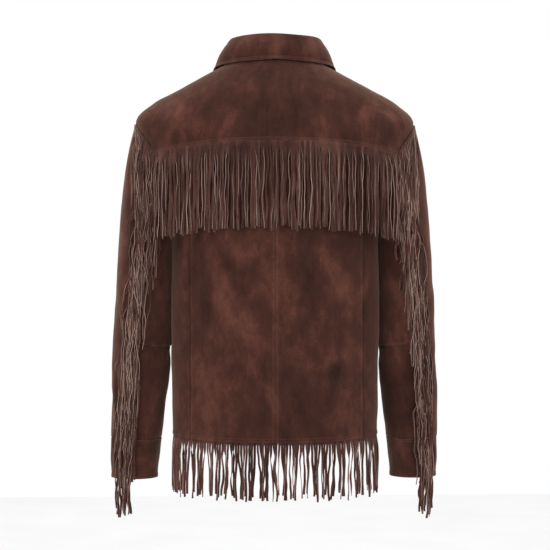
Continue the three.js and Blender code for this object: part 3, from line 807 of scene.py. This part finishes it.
def make_backs():
    rings = back_rows()
    pieces = {}
    for side, word in ((1, "left"), (-1, "right")):
        # The centre panel, from the centre seam to the side-back seam.
        seam = angle_at(PANEL_SEAM_X, rings)
        shares = marks(lambda s: body(s * angle_at(PANEL_SEAM_X, 9.0), 9.0 + 0 * s), 0, 1)
        down = np.broadcast_to(rings[:, None], (len(rings), len(shares)))
        p = Panel(body, seam[:, None] * shares, down, side, (SEAM, SEAM, BUTT, SEAM))
        relief = crease_relief(p.x, p.z, BACK_CREASES) + cloth_waves(p)
        relief += hem_fold(p) + lap(p.right, SIDE_STITCH, 1.2) + seam_dip(p.top, 0.8)
        relief += lap(p.left, CENTRE_STITCH, 1.3) if side > 0 else seam_dip(p.left, 0.5, 2.5)
        p.raise_by(relief)
        # Painted highlights along the side seam, the hem's edge and the centre seam's edges, one on the
        # lapped centre seam's ridge, with the patches of painted light and shade.
        nap = nap_patches(p.x, p.z) + 0.4 * bump_at(p.right, 2.5, 1.6) + 0.3 * bump_at(p.bottom, 2, 2)
        nap += 0.45 * bump_at(p.left, 1.5, 1.6) + (0.35 * bump_at(p.left, 7.5, 1.3) if side > 0 else 0)
        obj = p.build(f"back_centre_{word}_cloth", [SUEDE], nap, WALL + 1.3 * ease(1 - p.bottom / 9))
        pieces[f"back_centre_{word}"] = (p, obj)
        stitch_run(*p.line("right", SIDE_STITCH))
        stitch_run(*p.line("bottom", HEM_STITCH))
        if side > 0:
            stitch_run(*p.line("left", CENTRE_STITCH))
        # The side panel, out to the armhole and the side seam.
        edge = back_edge_angle(rings)
        shares = marks(lambda s: body(seam[-1] + (90 - seam[-1]) * s, 9.0 + 0 * s), 0, 1)
        turn = seam[:, None] + (edge - seam)[:, None] * shares
        p = Panel(body, turn, np.broadcast_to(rings[:, None], turn.shape), side)
        relief = crease_relief(p.x, p.z, BACK_CREASES) + cloth_waves(p)
        relief += hem_fold(p) + seam_dip(p.left) + seam_dip(p.right, 0.4) + seam_dip(p.top, 0.8)
        relief += 1.0 * ease((np.abs(p.x) - 165) / 15) * ease((p.z + 520) / 60)
        p.raise_by(relief)
        # Patches of painted light and shade, a painted highlight along the hem's edge, and the whole panel
        # 0.12 darker.
        nap = nap_patches(p.x, p.z) + 0.3 * bump_at(p.bottom, 2, 2) - 0.12
        obj = p.build(f"back_side_{word}_cloth", [SUEDE], nap, WALL + 1.3 * ease(1 - p.bottom / 9))
        pieces[f"back_side_{word}"] = (p, obj)
        stitch_run(*p.line("bottom", HEM_STITCH))
    return pieces


def make_fronts():
    corner_ring = float(armhole_place(FRONT_CORNER_TURN)[1])
    shoulder = marks(lambda ring: body(130 + 0 * ring, ring), 0, corner_ring, fine=(True, False))
    turns = marks(lambda turn: body(*armhole_place(turn)), FRONT_CORNER_TURN, 270, fine=(False, True))
    lower = marks(lambda ring: body(120 + 0 * ring, ring), ARMHOLE_BOTTOM, HEM_RING, fine=(False, True))
    rings = joined(shoulder, armhole_place(turns)[1], lower)
    pieces = {}
    for side, word in ((1, "left"), (-1, "right")):
        edge = front_edge_angle(rings)
        shares = marks(lambda s: body(90 + 90 * s, 9.0 + 0 * s), 0, 1)
        turn = edge[:, None] + (180 - edge)[:, None] * shares
        gap = (1.6, SEAM, SEAM, SEAM)
        p = Panel(body, turn, np.broadcast_to(rings[:, None], turn.shape), side, gap)
        relief = crease_relief(p.x, p.z, FRONT_CREASES) + cloth_waves(p)
        relief *= 1 - 0.8 * ease((26 - np.abs(p.x)) / 8)
        relief += hem_fold(p) * ease((np.abs(p.x) - 18) / 4) + seam_dip(p.left)
        p.raise_by(relief)
        # Random tone, and a painted highlight along the hem's edge.
        nap = 0.2 * Waves(11, 160)(p.x, p.z) + 0.3 * bump_at(p.bottom, 2, 2)
        obj = p.build(f"front_{word}_cloth", [SUEDE], nap, WALL + 1.3 * ease(1 - p.bottom / 9))
        pieces[f"front_{word}"] = (p, obj)
        line, normal = p.line("bottom", HEM_STITCH)
        keep = np.abs(line[:, 0]) > PLACKET_WIDTH / 2 + 1
        stitch_run(line[keep], normal[keep])
    # The placket lies over the fronts' meeting edges.
    across = marks(lambda x: body(180 + np.sign(x) * angle_at(np.abs(x), 9.0), 9.0 + 0 * x), -18, 18, step=3)
    turn = 180 + np.sign(across) * angle_at(np.abs(across), rings[:, None] + 0 * across)
    p = Panel(body, turn, np.broadcast_to(rings[:, None], turn.shape), 1)
    relief = PLACKET_LIFT + 0.35 * SHORT_WAVES(p.x, p.z)
    for edge in (p.left, p.right):
        relief = relief - 0.35 * bump_at(edge, PLACKET_STITCH, 1.2)
    p.raise_by(relief)
    # Painted highlights along both edges of the placket.
    nap = 0.3 * bump_at(p.left, 1, 2) + 0.3 * bump_at(p.right, 1, 2)
    pieces["placket"] = (p, p.build("placket_cloth", [SUEDE], nap, WALL + 0.2))
    for border in ("left", "right"):
        stitch_run(*p.line(border, PLACKET_STITCH))
    return pieces


def seam_turn(name, ring):
    at_armhole = CORNER_TURN if name == "back_seam" else SLEEVE_FRONT_TURN
    size = columns_at(SLEEVE, SLEEVE_COLUMNS, np.maximum(ring - 1, 0))[name]
    first = SLEEVE["upper arm"][SLEEVE_COLUMNS.index(name)]
    return np.where(ring >= 1, size, at_armhole + (first - at_armhole) * np.clip(ring, 0, 1))


def sleeve_relief(p, side):
    """Creases by degrees round the sleeve; a degree is about 0.9 mm there."""
    degree = 0.9
    turn = np.mod(p.turn, 360)
    creases = [
        ((a[0] * degree, a[1]), (b[0] * degree, b[1]), height, width, bow)
        for a, b, height, width, bow in SLEEVE_CREASES[side]
    ]
    waves = Waves(21 + side, 120)(turn * degree, p.z) + 0.25 * Waves(31 + side, 40)(turn * degree, p.z)
    fade = ease((p.down - 0.15) / 0.8)
    return crease_relief(turn * degree, p.z, creases) + 0.8 * waves * fade


def make_sleeves():
    pieces = {}
    head = marks(lambda t: sleeve(90 + 0 * t, t), 0, 1, fine=(True, False))
    upper = marks(lambda t: sleeve(90 + 0 * t, t), 1, ELBOW_RING, fine=(False, True))
    lower = marks(lambda t: sleeve(90 + 0 * t, t), ELBOW_RING, CUFF_RING)
    on_down = marks(lambda t: sleeve(90 + 0 * t, t), ELBOW_RING, CUFF_RING, fine=(False, True))
    rings = joined(head, upper, on_down)
    rings_upper = joined(head, upper)
    for side, word in ((1, "left"), (-1, "right")):
        # The top sleeve, round the outside from the back seam to the front seam.
        shares = marks(lambda s: sleeve(20 + 180 * s, 3.0 + 0 * s), 0, 1)
        back, front = seam_turn("back_seam", rings), seam_turn("front_seam", rings)
        turn = back[:, None] + (front - back)[:, None] * shares
        p = Panel(sleeve, turn, np.broadcast_to(rings[:, None], turn.shape), side, (0.6, SEAM, SEAM, SEAM))
        relief = sleeve_relief(p, side) + seam_dip(p.left, 0.8) + seam_dip(p.right) + seam_dip(p.top, 0.3, 3)
        relief += seam_dip(p.bottom, 1.0, 3)
        p.raise_by(relief)
        # Random tone, and a painted highlight along the lower edge at the cuff seam.
        nap = 0.25 * Waves(41 + side, 90)(p.turn, p.z) + 0.3 * bump_at(p.bottom, 2, 2)
        pieces[f"sleeve_top_{word}"] = (p, p.build(f"sleeve_top_{word}_cloth", [SUEDE], nap))
        # The under sleeve in two lengths, joined at the elbow.
        shares = marks(lambda s: sleeve(200 + 180 * s, 3.0 + 0 * s), 0, 1)
        for part, rows in (("upper", rings_upper), ("lower", lower)):
            back, front = seam_turn("back_seam", rows) + 360, seam_turn("front_seam", rows)
            turn = front[:, None] + (back - front)[:, None] * shares
            sag = ELBOW_DIP * np.sin(np.pi * shares)
            near = ease(1 - np.abs(rows - ELBOW_RING) / 1.2)
            p = Panel(sleeve, turn, rows[:, None] + near[:, None] * sag, side, (0.6, SEAM, SEAM, SEAM))
            relief = sleeve_relief(p, side) + seam_dip(p.left) + seam_dip(p.right, 0.8) + seam_dip(p.top, 0.9)
            relief += seam_dip(p.bottom, 0.9)
            relief += 2.2 * ease((320 - p.turn) / 30) * ease((p.turn - 220) / 20) * (part == "upper")
            p.raise_by(relief)
            # Random tone, the upper length 0.1 lighter and the lower 0.15 darker, and on the upper length a
            # painted highlight along its lower edge at the elbow.
            nap = 0.25 * Waves(51 + side, 90)(p.turn, p.z) + (0.1 if part == "upper" else -0.15)
            nap = nap + (0.35 * bump_at(p.bottom, 2, 1.8) if part == "upper" else 0)
            name = f"sleeve_under_{part}_{word}"
            pieces[name] = (p, p.build(name + "_cloth", [SUEDE], nap))
        # The cuff, all round, open at the back seam.
        rows = marks(lambda t: sleeve(90 + 0 * t, t), CUFF_RING, CUFF_EDGE_RING, step=3.6)
        back = seam_turn("back_seam", rows)
        shares = marks(lambda s: sleeve(20 + 360 * s, 7.0 + 0 * s), 0, 1)
        turn = back[:, None] + 360 * shares
        p = Panel(sleeve, turn, np.broadcast_to(rows[:, None], turn.shape), side)
        relief = 0.35 * SHORT_WAVES(p.turn, p.z) + lap(p.bottom, CUFF_EDGE_STITCH, 0.6)
        relief = relief + 0.5 - 0.5 * bump_at(p.top, CUFF_SEAM_STITCH, 1.2)
        p.raise_by(relief)
        # Random tone, and painted highlights along the cuff's lower edge and its seam.
        nap = 0.2 * Waves(61 + side, 80)(p.turn, p.z)
        nap = nap + 0.35 * bump_at(p.bottom, 2, 2) + 0.25 * bump_at(p.top, 1, 2)
        wall = WALL + 0.8 * ease(1 - p.bottom / 9)
        pieces[f"cuff_{word}"] = (p, p.build(f"cuff_{word}_cloth", [SUEDE], nap, wall))
        stitch_run(*p.line("bottom", CUFF_EDGE_STITCH))
        stitch_run(*p.line("top", CUFF_SEAM_STITCH))
    return pieces


def make_collar():
    end = COLLAR_EDGE_FOLD[-1]
    pieces = {}
    angles = marks(lambda a: fold_point(a), -end, end, step=3.6)
    rows = np.linspace(0, 1, 12)
    turn = np.broadcast_to(angles, (len(rows), len(angles)))
    p = Panel(collar_stand, turn, np.broadcast_to(rows[:, None], turn.shape), 1, (5, 1.2, SEAM, SEAM))
    p.raise_by(0.2 * SHORT_WAVES(p.x, p.z))
    pieces["collar_stand"] = (p, p.build("collar_stand_cloth", [SUEDE], 0.1 + 0 * p.x, COLLAR_WALL - 0.2))
    angles = marks(lambda a: collar_fall(a, 3.0 + 0 * a), -end, end, step=3.6)
    below_roll = marks(lambda d: collar_fall(0 * d, d), 1, 3, 3.2, (False, True))
    rows = joined(np.linspace(0, 1, 9), below_roll)
    turn = np.broadcast_to(angles, (len(rows), len(angles)))
    p = Panel(collar_fall, turn, np.broadcast_to(rows[:, None], turn.shape), 1)
    border = np.minimum(p.bottom, np.minimum(p.left, p.right))
    relief = 0.5 * LONG_WAVES(p.x * 1.6, p.z * 2) * ease(p.bottom / 10)
    relief = relief - 0.75 * bump_at(border, COLLAR_STITCH, 1.5)
    relief += 0.35 * ease(1 - border / 5) - 0.35 * bump_at(p.top, 14, 1.6)
    p.raise_by(relief)
    # Painted highlights along the fall's edges and on its roll below the fold, with random tone.
    nap = 0.45 * bump_at(border, 3.5, 2) + 0.25 * Waves(71, 70)(p.x, p.z) + 0.2 * bump_at(p.top, 6, 5)
    pieces["collar_fall"] = (p, p.build("collar_fall_cloth", [SUEDE], nap, COLLAR_WALL))
    stitch_run(*p.line("bottom", COLLAR_STITCH))
    for side in ("left", "right"):
        line, normal = p.line(side, COLLAR_STITCH)
        depth = p.bottom[:, 0]
        keep = (depth > 6) & (np.arange(len(line)) > 8)
        stitch_run(line[keep], normal[keep])
    return pieces


# ---------------------------------------------------------------- fringe
class Strands:
    """Cut strips of suede, gathered into one mesh. Each has two napped faces and two pale cut edges."""

    # Corners of a strip's section, as shares of its width and thickness, with slightly eased edges.
    CORNERS = [(-0.5, -0.3), (-0.45, -0.5), (0.45, -0.5), (0.5, -0.3)]
    SECTION = np.array(CORNERS + [(-a, -b) for a, b in CORNERS])
    PALE = (False, False, False, True, False, False, False, True)

    def __init__(self):
        self.points, self.faces, self.kinds, self.tints, self.count = [], [], [], [], 0

    def add(self, path, across, facing, width, thick, tint):
        """path is the strip's middle line; across and facing are unit directions at each point."""
        n, m = len(self.SECTION), len(path)
        rings = (
            path[:, None]
            + across[:, None] * self.SECTION[:, 0][None, :, None] * np.reshape(width, (-1, 1, 1))
            + facing[:, None] * (self.SECTION[:, 1] * thick)[None, :, None]
        )
        one, kinds = [], []
        for r in range(m - 1):
            for k in range(n):
                one.append((r * n + k, r * n + (k + 1) % n, (r + 1) * n + (k + 1) % n, (r + 1) * n + k))
                kinds.append(int(self.PALE[k]))
        for r, flip in ((0, True), (m - 1, False)):
            ring = [r * n + k for k in range(n)]
            if flip:
                ring = ring[::-1]
            for a in (1, 3, 5):
                one.append((ring[0], ring[a], ring[a + 1], ring[(a + 2) % n]))
                kinds.append(1)
        self.points.append(rings.reshape(-1, 3))
        self.faces.append(np.array(one) + self.count)
        self.kinds += kinds
        self.tints.append(np.full(n * m, tint))
        self.count += n * m

    def build(self, name):
        return new_object(
            name,
            np.concatenate(self.points),
            np.concatenate(self.faces),
            [FRINGE, CUT_EDGE],
            face_materials=self.kinds,
            nap=np.concatenate(self.tints),
        )


class Wander:
    """A smooth random walk along a strand."""

    def __init__(self, r, length, count=3):
        self.size = r.uniform(0.6, 1.5, count) * 2 * np.pi / length
        self.phase = r.uniform(0, 2 * np.pi, count)
        self.weight = r.uniform(0.5, 1.0, count)

    def __call__(self, s):
        value = sum(w * np.sin(s * k + p) for k, p, w in zip(self.size, self.phase, self.weight))
        start = sum(w * np.sin(p) for p, w in zip(self.phase, self.weight))
        return (value - start) / np.sum(self.weight)


def clumps(r, count, low, high):
    """Which clump each strand falls into: neighbours in runs of a random size."""
    groups, k = [], 0
    while len(groups) < count:
        groups += [k] * int(r.integers(low, high + 1))
        k += 1
    return np.array(groups[:count])


def hang(strands, r, roots, across, facing, lengths_mm, gather, spread, wander, twist, layer, fall, steps=26):
    """Hang a row of strands. gather is how far neighbours close up, spread how far a clump strays as one,
    wander how far a strand strays by itself, twist how far it turns, and layer how deep they lie over
    each other. fall(k, s, sideways, depth) gives strand k's points at distances s from its root."""
    count = len(roots)
    group = clumps(r, count, *gather["size"])
    shift = {}
    for k in range(count):
        g = group[k]
        if g not in shift:
            mates = np.flatnonzero(group == g)
            shift[g] = (mates.mean() + r.normal(0, 0.5), Wander(r, 150), Wander(r, 90), r.normal(0, 1))
        middle, drift, swing, stray = shift[g]
        length = lengths_mm[k]
        s = np.linspace(0, length, steps)
        t = s / length
        close = ease(t / 0.6) * gather["share"] * r.uniform(0.7, 1.15)
        sideways = (middle - k) * STRAND_PITCH * close + spread * t * (0.8 * drift(s) + 0.5 * stray)
        sideways += wander * ease(t * 3) * Wander(r, 95)(s) + 0.35 * wander * ease(t * 4) * Wander(r, 34)(s)
        depth = layer * r.uniform(0, 1) * ease(t * 4) + 0.2 * layer * ease(t * 2) * Wander(r, 80)(s)
        depth += 0.5 * layer * t * swing(s)
        free = ease((s - HEADER) / 26)
        angle = np.radians(free * (r.normal(0, twist) + twist * 0.9 * Wander(r, 130)(s)))
        side_to, out_to = across[k], facing[k]
        path = fall(k, s, sideways, depth)
        along = unit(np.gradient(path, axis=0))
        flat = unit(np.cross(out_to + 0 * along, along))
        flat = np.where((flat * side_to).sum(-1, keepdims=True) < 0, -flat, flat)
        out = unit(np.cross(along, flat))
        out = np.where((out * out_to).sum(-1, keepdims=True) < 0, -out, out)
        turned = flat * np.cos(angle)[:, None] + out * np.sin(angle)[:, None]
        face = np.cross(along, turned)
        width = STRAND_WIDTH * r.uniform(0.86, 1.1) * (1 - 0.1 * ease((t - 0.9) * 10))
        width = width + (STRAND_PITCH + 0.25 - width) * (1 - ease((s - HEADER * 0.6) / 5))
        strands.add(path, turned, face, width, STRAND_THICK * r.uniform(0.85, 1.15), r.normal(0, 0.3))


def make_yoke_fringe():
    r = np.random.default_rng(101)
    edge_angle = CORNER_ANGLE - 0.6
    line = lambda angle: body(angle, YOKE_RING)
    total = lengths(line(np.linspace(-edge_angle, edge_angle, 600)))[-1]
    count = int(total / STRAND_PITCH)
    angles = marks(line, -edge_angle, edge_angle, step=total / count, fine=(False, False))
    angles = (angles[:-1] + angles[1:]) / 2
    roots, out = body(angles, YOKE_RING), outward(body, angles, YOKE_RING + 0.02 + 0 * angles)
    across = unit(np.cross(out, (0, 0, 1)))
    across = np.where(across[:, :1] < 0, -across, across)
    ends = np.abs(angles) / CORNER_ANGLE
    reach = r.normal(154, 2.6, len(angles)) + 4 * ends**2
    strands = Strands()

    def fall(k, s, sideways, depth):
        t = s / reach[k]
        lift = 0.9 + 2.2 * ease(s / 22) + depth
        path = roots[k] + across[k] * sideways[:, None] + out[k] * (1, 1, 0) * lift[:, None]
        path = path - np.array([0, 0, 1.0]) * s[:, None]
        path[:, 1] += (1 - (1 - t) ** 2) * 20 * ends[k] ** 3
        path[:, 2] += 1.5
        return path

    hang(
        strands, r, roots, across, out * (1, 1, 0), reach,
        gather={"size": (2, 4), "share": 0.16}, spread=1.3, wander=1.5, twist=48, layer=2.4, fall=fall,
    )
    return strands.build("yoke_fringe_strands")


SLEEVE_LINE = columns_at(SLEEVE, SLEEVE_COLUMNS, np.linspace(0, 8, 200))


def sleeve_back_height():
    """How far back the sleeve's surface stands, by x and z, as a function."""
    turns, rings = np.meshgrid(np.linspace(-85, 88, 500), np.linspace(0.0, 8.95, 900))
    points = sleeve(turns, rings).reshape(-1, 3)
    left, top, cell = 180.0, -95.0, 2.0
    columns, rows = 70, 375
    field = np.full((rows, columns), -1e3)
    i = np.clip(((top - points[:, 2]) / cell).astype(int), 0, rows - 1)
    j = np.clip(((points[:, 0] - left) / cell).astype(int), 0, columns - 1)
    np.maximum.at(field, (i, j), points[:, 1])
    for _ in range(40):  # beyond the outline, the nearest height carries on
        empty = field < -500
        if not empty.any():
            break
        padded = np.pad(field, 1, mode="edge")
        near = np.max([padded[1:-1, :-2], padded[1:-1, 2:], padded[:-2, 1:-1], padded[2:, 1:-1]], axis=0)
        field = np.where(empty, near, field)
    for _ in range(3):
        padded = np.pad(field, 1, mode="edge")
        field = (padded[1:-1, :-2] + padded[1:-1, 2:] + padded[:-2, 1:-1] + padded[2:, 1:-1] + 2 * field) / 6

    def read(x, z):
        u = np.clip((x - left) / cell - 0.5, 0, columns - 1.001)
        v = np.clip((top - z) / cell - 0.5, 0, rows - 1.001)
        a, b = u.astype(int), v.astype(int)
        fu, fv = u - a, v - b
        above = field[b, a] * (1 - fu) + field[b, a + 1] * fu
        below = field[b + 1, a] * (1 - fu) + field[b + 1, a + 1] * fu
        return above * (1 - fv) + below * fv

    return read


def make_sleeve_fringe(side, word):
    r = np.random.default_rng(200 + side)
    strands = Strands()
    # Along the armhole, from the shoulder towards the yoke's corner.
    turn_path = lambda turn: sleeve(turn, 0.02 + 0 * turn)
    armhole = marks(turn_path, CORNER_TURN + 2, 86, step=STRAND_PITCH * 0.62, fine=(False, False))[::-1]
    down_path = lambda ring: sleeve(seam_turn("back_seam", ring), ring)
    seam = marks(down_path, 0.03, CUFF_RING + 0.05, step=STRAND_PITCH * 1.02, fine=(False, False))
    turns = np.concatenate([armhole, seam_turn("back_seam", seam)])
    rings = np.concatenate([np.full(len(armhole), 0.03), seam])
    on_armhole = np.arange(len(turns)) < len(armhole)
    roots, out = sleeve(turns, rings), outward(sleeve, turns, rings)
    level = unit(out * (1, 1, 0))
    across = unit(np.cross((0, 0, 1), level))
    reach = r.normal(172, 7, len(turns))
    reach = np.where(on_armhole, r.normal(168, 5, len(turns)), reach)
    reach = np.minimum(reach, roots[:, 2] + 824 + r.normal(0, 4, len(turns)))
    lie = r.normal(0, 1, len(turns))
    surface_y = sleeve_back_height()

    def fall(k, s, sideways, depth):
        start = roots[k]
        stray = 9.0 * lie[k] * (0.25 if on_armhole[k] else 1.0)
        x = start[0] + across[k][0] * sideways + stray * ease(s / 34)
        z = start[2] - s + 2 * (1 - ease(s / 30))
        centre_x = np.interp(-z, -SLEEVE_LINE["z"], SLEEVE_LINE["x"])
        root_x = np.interp(-start[2], -SLEEVE_LINE["z"], SLEEVE_LINE["x"])
        half = np.interp(-z, -SLEEVE_LINE["z"], SLEEVE_LINE["half_width"])
        x = x + (centre_x - root_x) * 0.7
        outer = centre_x + 0.86 * half  # no strand hangs out past the arm
        x = np.where(x > outer, outer + (x - outer) * 0.15, x)
        lift = 1.0 + (1.6 + 1.2 * np.abs(lie[k])) * ease(s / 16) + depth
        y = surface_y(x, z) + lift
        blend = ease(s / 12)
        y = (start[1] + level[k][1] * 1.2) * (1 - blend) + y * blend
        return np.stack([x * side, y, z], -1)

    mirror = np.array([side, 1, 1])
    hang(
        strands, r, roots, across * mirror, level * mirror, reach,
        gather={"size": (2, 6), "share": 0.3}, spread=3.4, wander=3.0, twist=60, layer=3.2, fall=fall,
    )
    return strands.build(f"sleeve_fringe_{word}_strands")


def make_hem_fringe():
    r = np.random.default_rng(303)
    line = lambda angle: body(angle, HEM_RING)
    total = lengths(line(np.linspace(-90, 90, 600)))[-1]
    count = int(total / STRAND_PITCH)
    angles = marks(line, -90, 90, step=total / count, fine=(False, False))
    angles = (angles[:-1] + angles[1:]) / 2
    roots, out = body(angles, HEM_RING), outward(body, angles, HEM_RING - 0.02 + 0 * angles)
    level = unit(out * (1, 1, 0))
    across = unit(np.cross((0, 0, 1), level))
    across = np.where(across[:, :1] < 0, -across, across)
    reach = r.normal(102, 4.5, len(angles))
    strands = Strands()

    def fall(k, s, sideways, depth):
        lift = -2.1 + 0.6 * ease(s / 15) + depth
        path = roots[k] + across[k] * sideways[:, None] + level[k] * lift[:, None]
        path[:, 2] = roots[k][2] + 3 - s
        return path

    hang(
        strands, r, roots, across, level, reach,
        gather={"size": (2, 4), "share": 0.5}, spread=2.6, wander=1.7, twist=55, layer=2.0, fall=fall,
        steps=22,
    )
    return strands.build("hem_fringe_strands")


# ---------------------------------------------------------------- buttons
BUTTON_PROFILE = ((5.0, 0.0), (7.4, 0.5), (8.0, 1.3), (7.8, 2.2), (7.0, 2.8), (5.9, 2.6), (5.0, 2.0))
BUTTON_UNDER, BUTTON_WELL = 0.2, 1.8  # heights of the middle of its underside and of its face
THREAD_HEIGHT = 2.0


def make_buttons():
    names = sorted(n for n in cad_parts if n.startswith("button"))
    sides = 40
    for name in names:
        place = sum(np.array(corner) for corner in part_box(name)) / 2 / MM
        rings = np.arange(0, HEM_RING, 0.01)
        ring = rings[np.argmin(np.abs(body(180 + 0 * rings, rings)[:, 2] - place[2]))]
        normal = outward(body, np.array(180.0), np.array(ring))
        seat = body(np.array(180.0), np.array(ring)) + normal * (PLACKET_LIFT + 0.35)
        up = unit(np.cross(normal, (1, 0, 0)))
        up = up if up[2] > 0 else -up
        right = np.array([1.0, 0, 0])
        points, faces = [], []
        for radius, height in BUTTON_PROFILE:
            for k in range(sides):
                a = 2 * math.pi * k / sides
                points.append(seat + normal * height + (right * math.cos(a) + up * math.sin(a)) * radius)
        n = len(BUTTON_PROFILE)
        base, top = len(points), len(points) + 1
        points += [seat + normal * BUTTON_UNDER, seat + normal * BUTTON_WELL]
        flipped = np.dot(np.cross(right, up), normal) < 0
        for j in range(n - 1):
            low, high = j * sides, (j + 1) * sides
            for k in range(sides):
                following = (k + 1) % sides
                q = (low + k, low + following, high + following, high + k)
                faces.append(q[::-1] if flipped else q)
        for k in range(sides):
            a, b = k, (k + 1) % sides
            q = (base, b, a, a)
            t = (top, (n - 1) * sides + a, (n - 1) * sides + b, (n - 1) * sides + b)
            faces.append(q[::-1] if flipped else q)
            faces.append(t[::-1] if flipped else t)
        obj = poly_object(name + "_horn", points, faces, [HORN])
        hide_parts(name)
        # Thread through four holes, as two crossed bars.
        for u, v in ((1, 1), (1, -1)):
            bar = np.linspace(-1.5, 1.5, 5)[:, None]
            line = seat + normal * THREAD_HEIGHT + (right * u + up * v) * bar
            stitch_run(line, np.repeat(normal[None], len(line), 0), lift=0.1)


def poly_object(name, points, faces, materials):
    """A mesh whose faces may be triangles, given as quads with a repeated last corner."""
    mesh = bpy.data.meshes.new(name)
    clean = [tuple(dict.fromkeys(int(i) for i in f)) for f in faces]
    mesh.from_pydata([tuple(float(c) * MM for c in p) for p in points], [], clean)
    for polygon in mesh.polygons:
        polygon.use_smooth = True
    for material in materials:
        mesh.materials.append(material)
    mesh.update()
    obj = bpy.data.objects.new(name, mesh)
    bpy.context.scene.collection.objects.link(obj)
    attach(obj, "root")
    return obj


# ---------------------------------------------------------------- studio
def make_studio():
    scene = bpy.context.scene
    scene.view_settings.view_transform = "Standard"
    world = bpy.data.worlds.new("studio")
    scene.world = world
    world.use_nodes = True
    background = world.node_tree.nodes["Background"]
    background.inputs["Color"].default_value = (1, 1, 1, 1)
    background.inputs["Strength"].default_value = 1.0
    camera = bpy.data.cameras.new("camera")
    camera.sensor_width = CAMERA_SENSOR
    camera.lens = CAMERA_LENS
    eye = bpy.data.objects.new("camera", camera)
    scene.collection.objects.link(eye)
    swing = math.radians(CAMERA_SWING)
    eye.location = (math.sin(swing) * CAMERA_DISTANCE, math.cos(swing) * CAMERA_DISTANCE, CAMERA_HEIGHT)
    eye.rotation_euler = (math.radians(90), 0, math.pi - swing)
    scene.camera = eye
    for name, (place, size, power) in LAMPS.items():
        lamp = bpy.data.lights.new(name, "AREA")
        lamp.size, lamp.energy = size, power
        obj = bpy.data.objects.new(name, lamp)
        scene.collection.objects.link(obj)
        obj.location = place
        direction = np.array(LAMP_AIM) - np.array(place)
        obj.rotation_euler = Vector(direction).to_track_quat("-Z", "Y").to_euler()
    floor = bpy.data.meshes.new("floor")
    half, level = FLOOR_HALF, FLOOR_LEVEL
    corners = [(-half, -half, level), (half, -half, level), (half, half, level), (-half, half, level)]
    floor.from_pydata(corners, [], [(0, 1, 2, 3)])
    floor.materials.append(plain("floor", (0.9, 0.9, 0.9), 0.9, 3, 0.02))
    obj = bpy.data.objects.new("floor", floor)
    scene.collection.objects.link(obj)


make_studio()
yoke_panel, yoke_cloth = make_yoke()
backs = make_backs()
fronts = make_fronts()
sleeves = make_sleeves()
collar = make_collar()
yoke_fringe = make_yoke_fringe()
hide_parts("yoke_fringe")
for side, word in ((1, "left"), (-1, "right")):
    strands = make_sleeve_fringe(side, word)
    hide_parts(f"sleeve_fringe_{word}")
hem_fringe = make_hem_fringe()
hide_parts("hem_fringe")
make_buttons()
stitches = poly_object("topstitching", np.concatenate(stitch_points), np.concatenate(stitch_faces), [THREAD])

place_sheet("yoke")
for node, (panel, obj) in {**backs, **fronts}.items():
    place_sheet(node)
for node, (panel, obj) in sleeves.items():
    word = node.rsplit("_", 1)[1]
    place_sheet(node)
for node, (panel, obj) in collar.items():
    place_sheet(node)
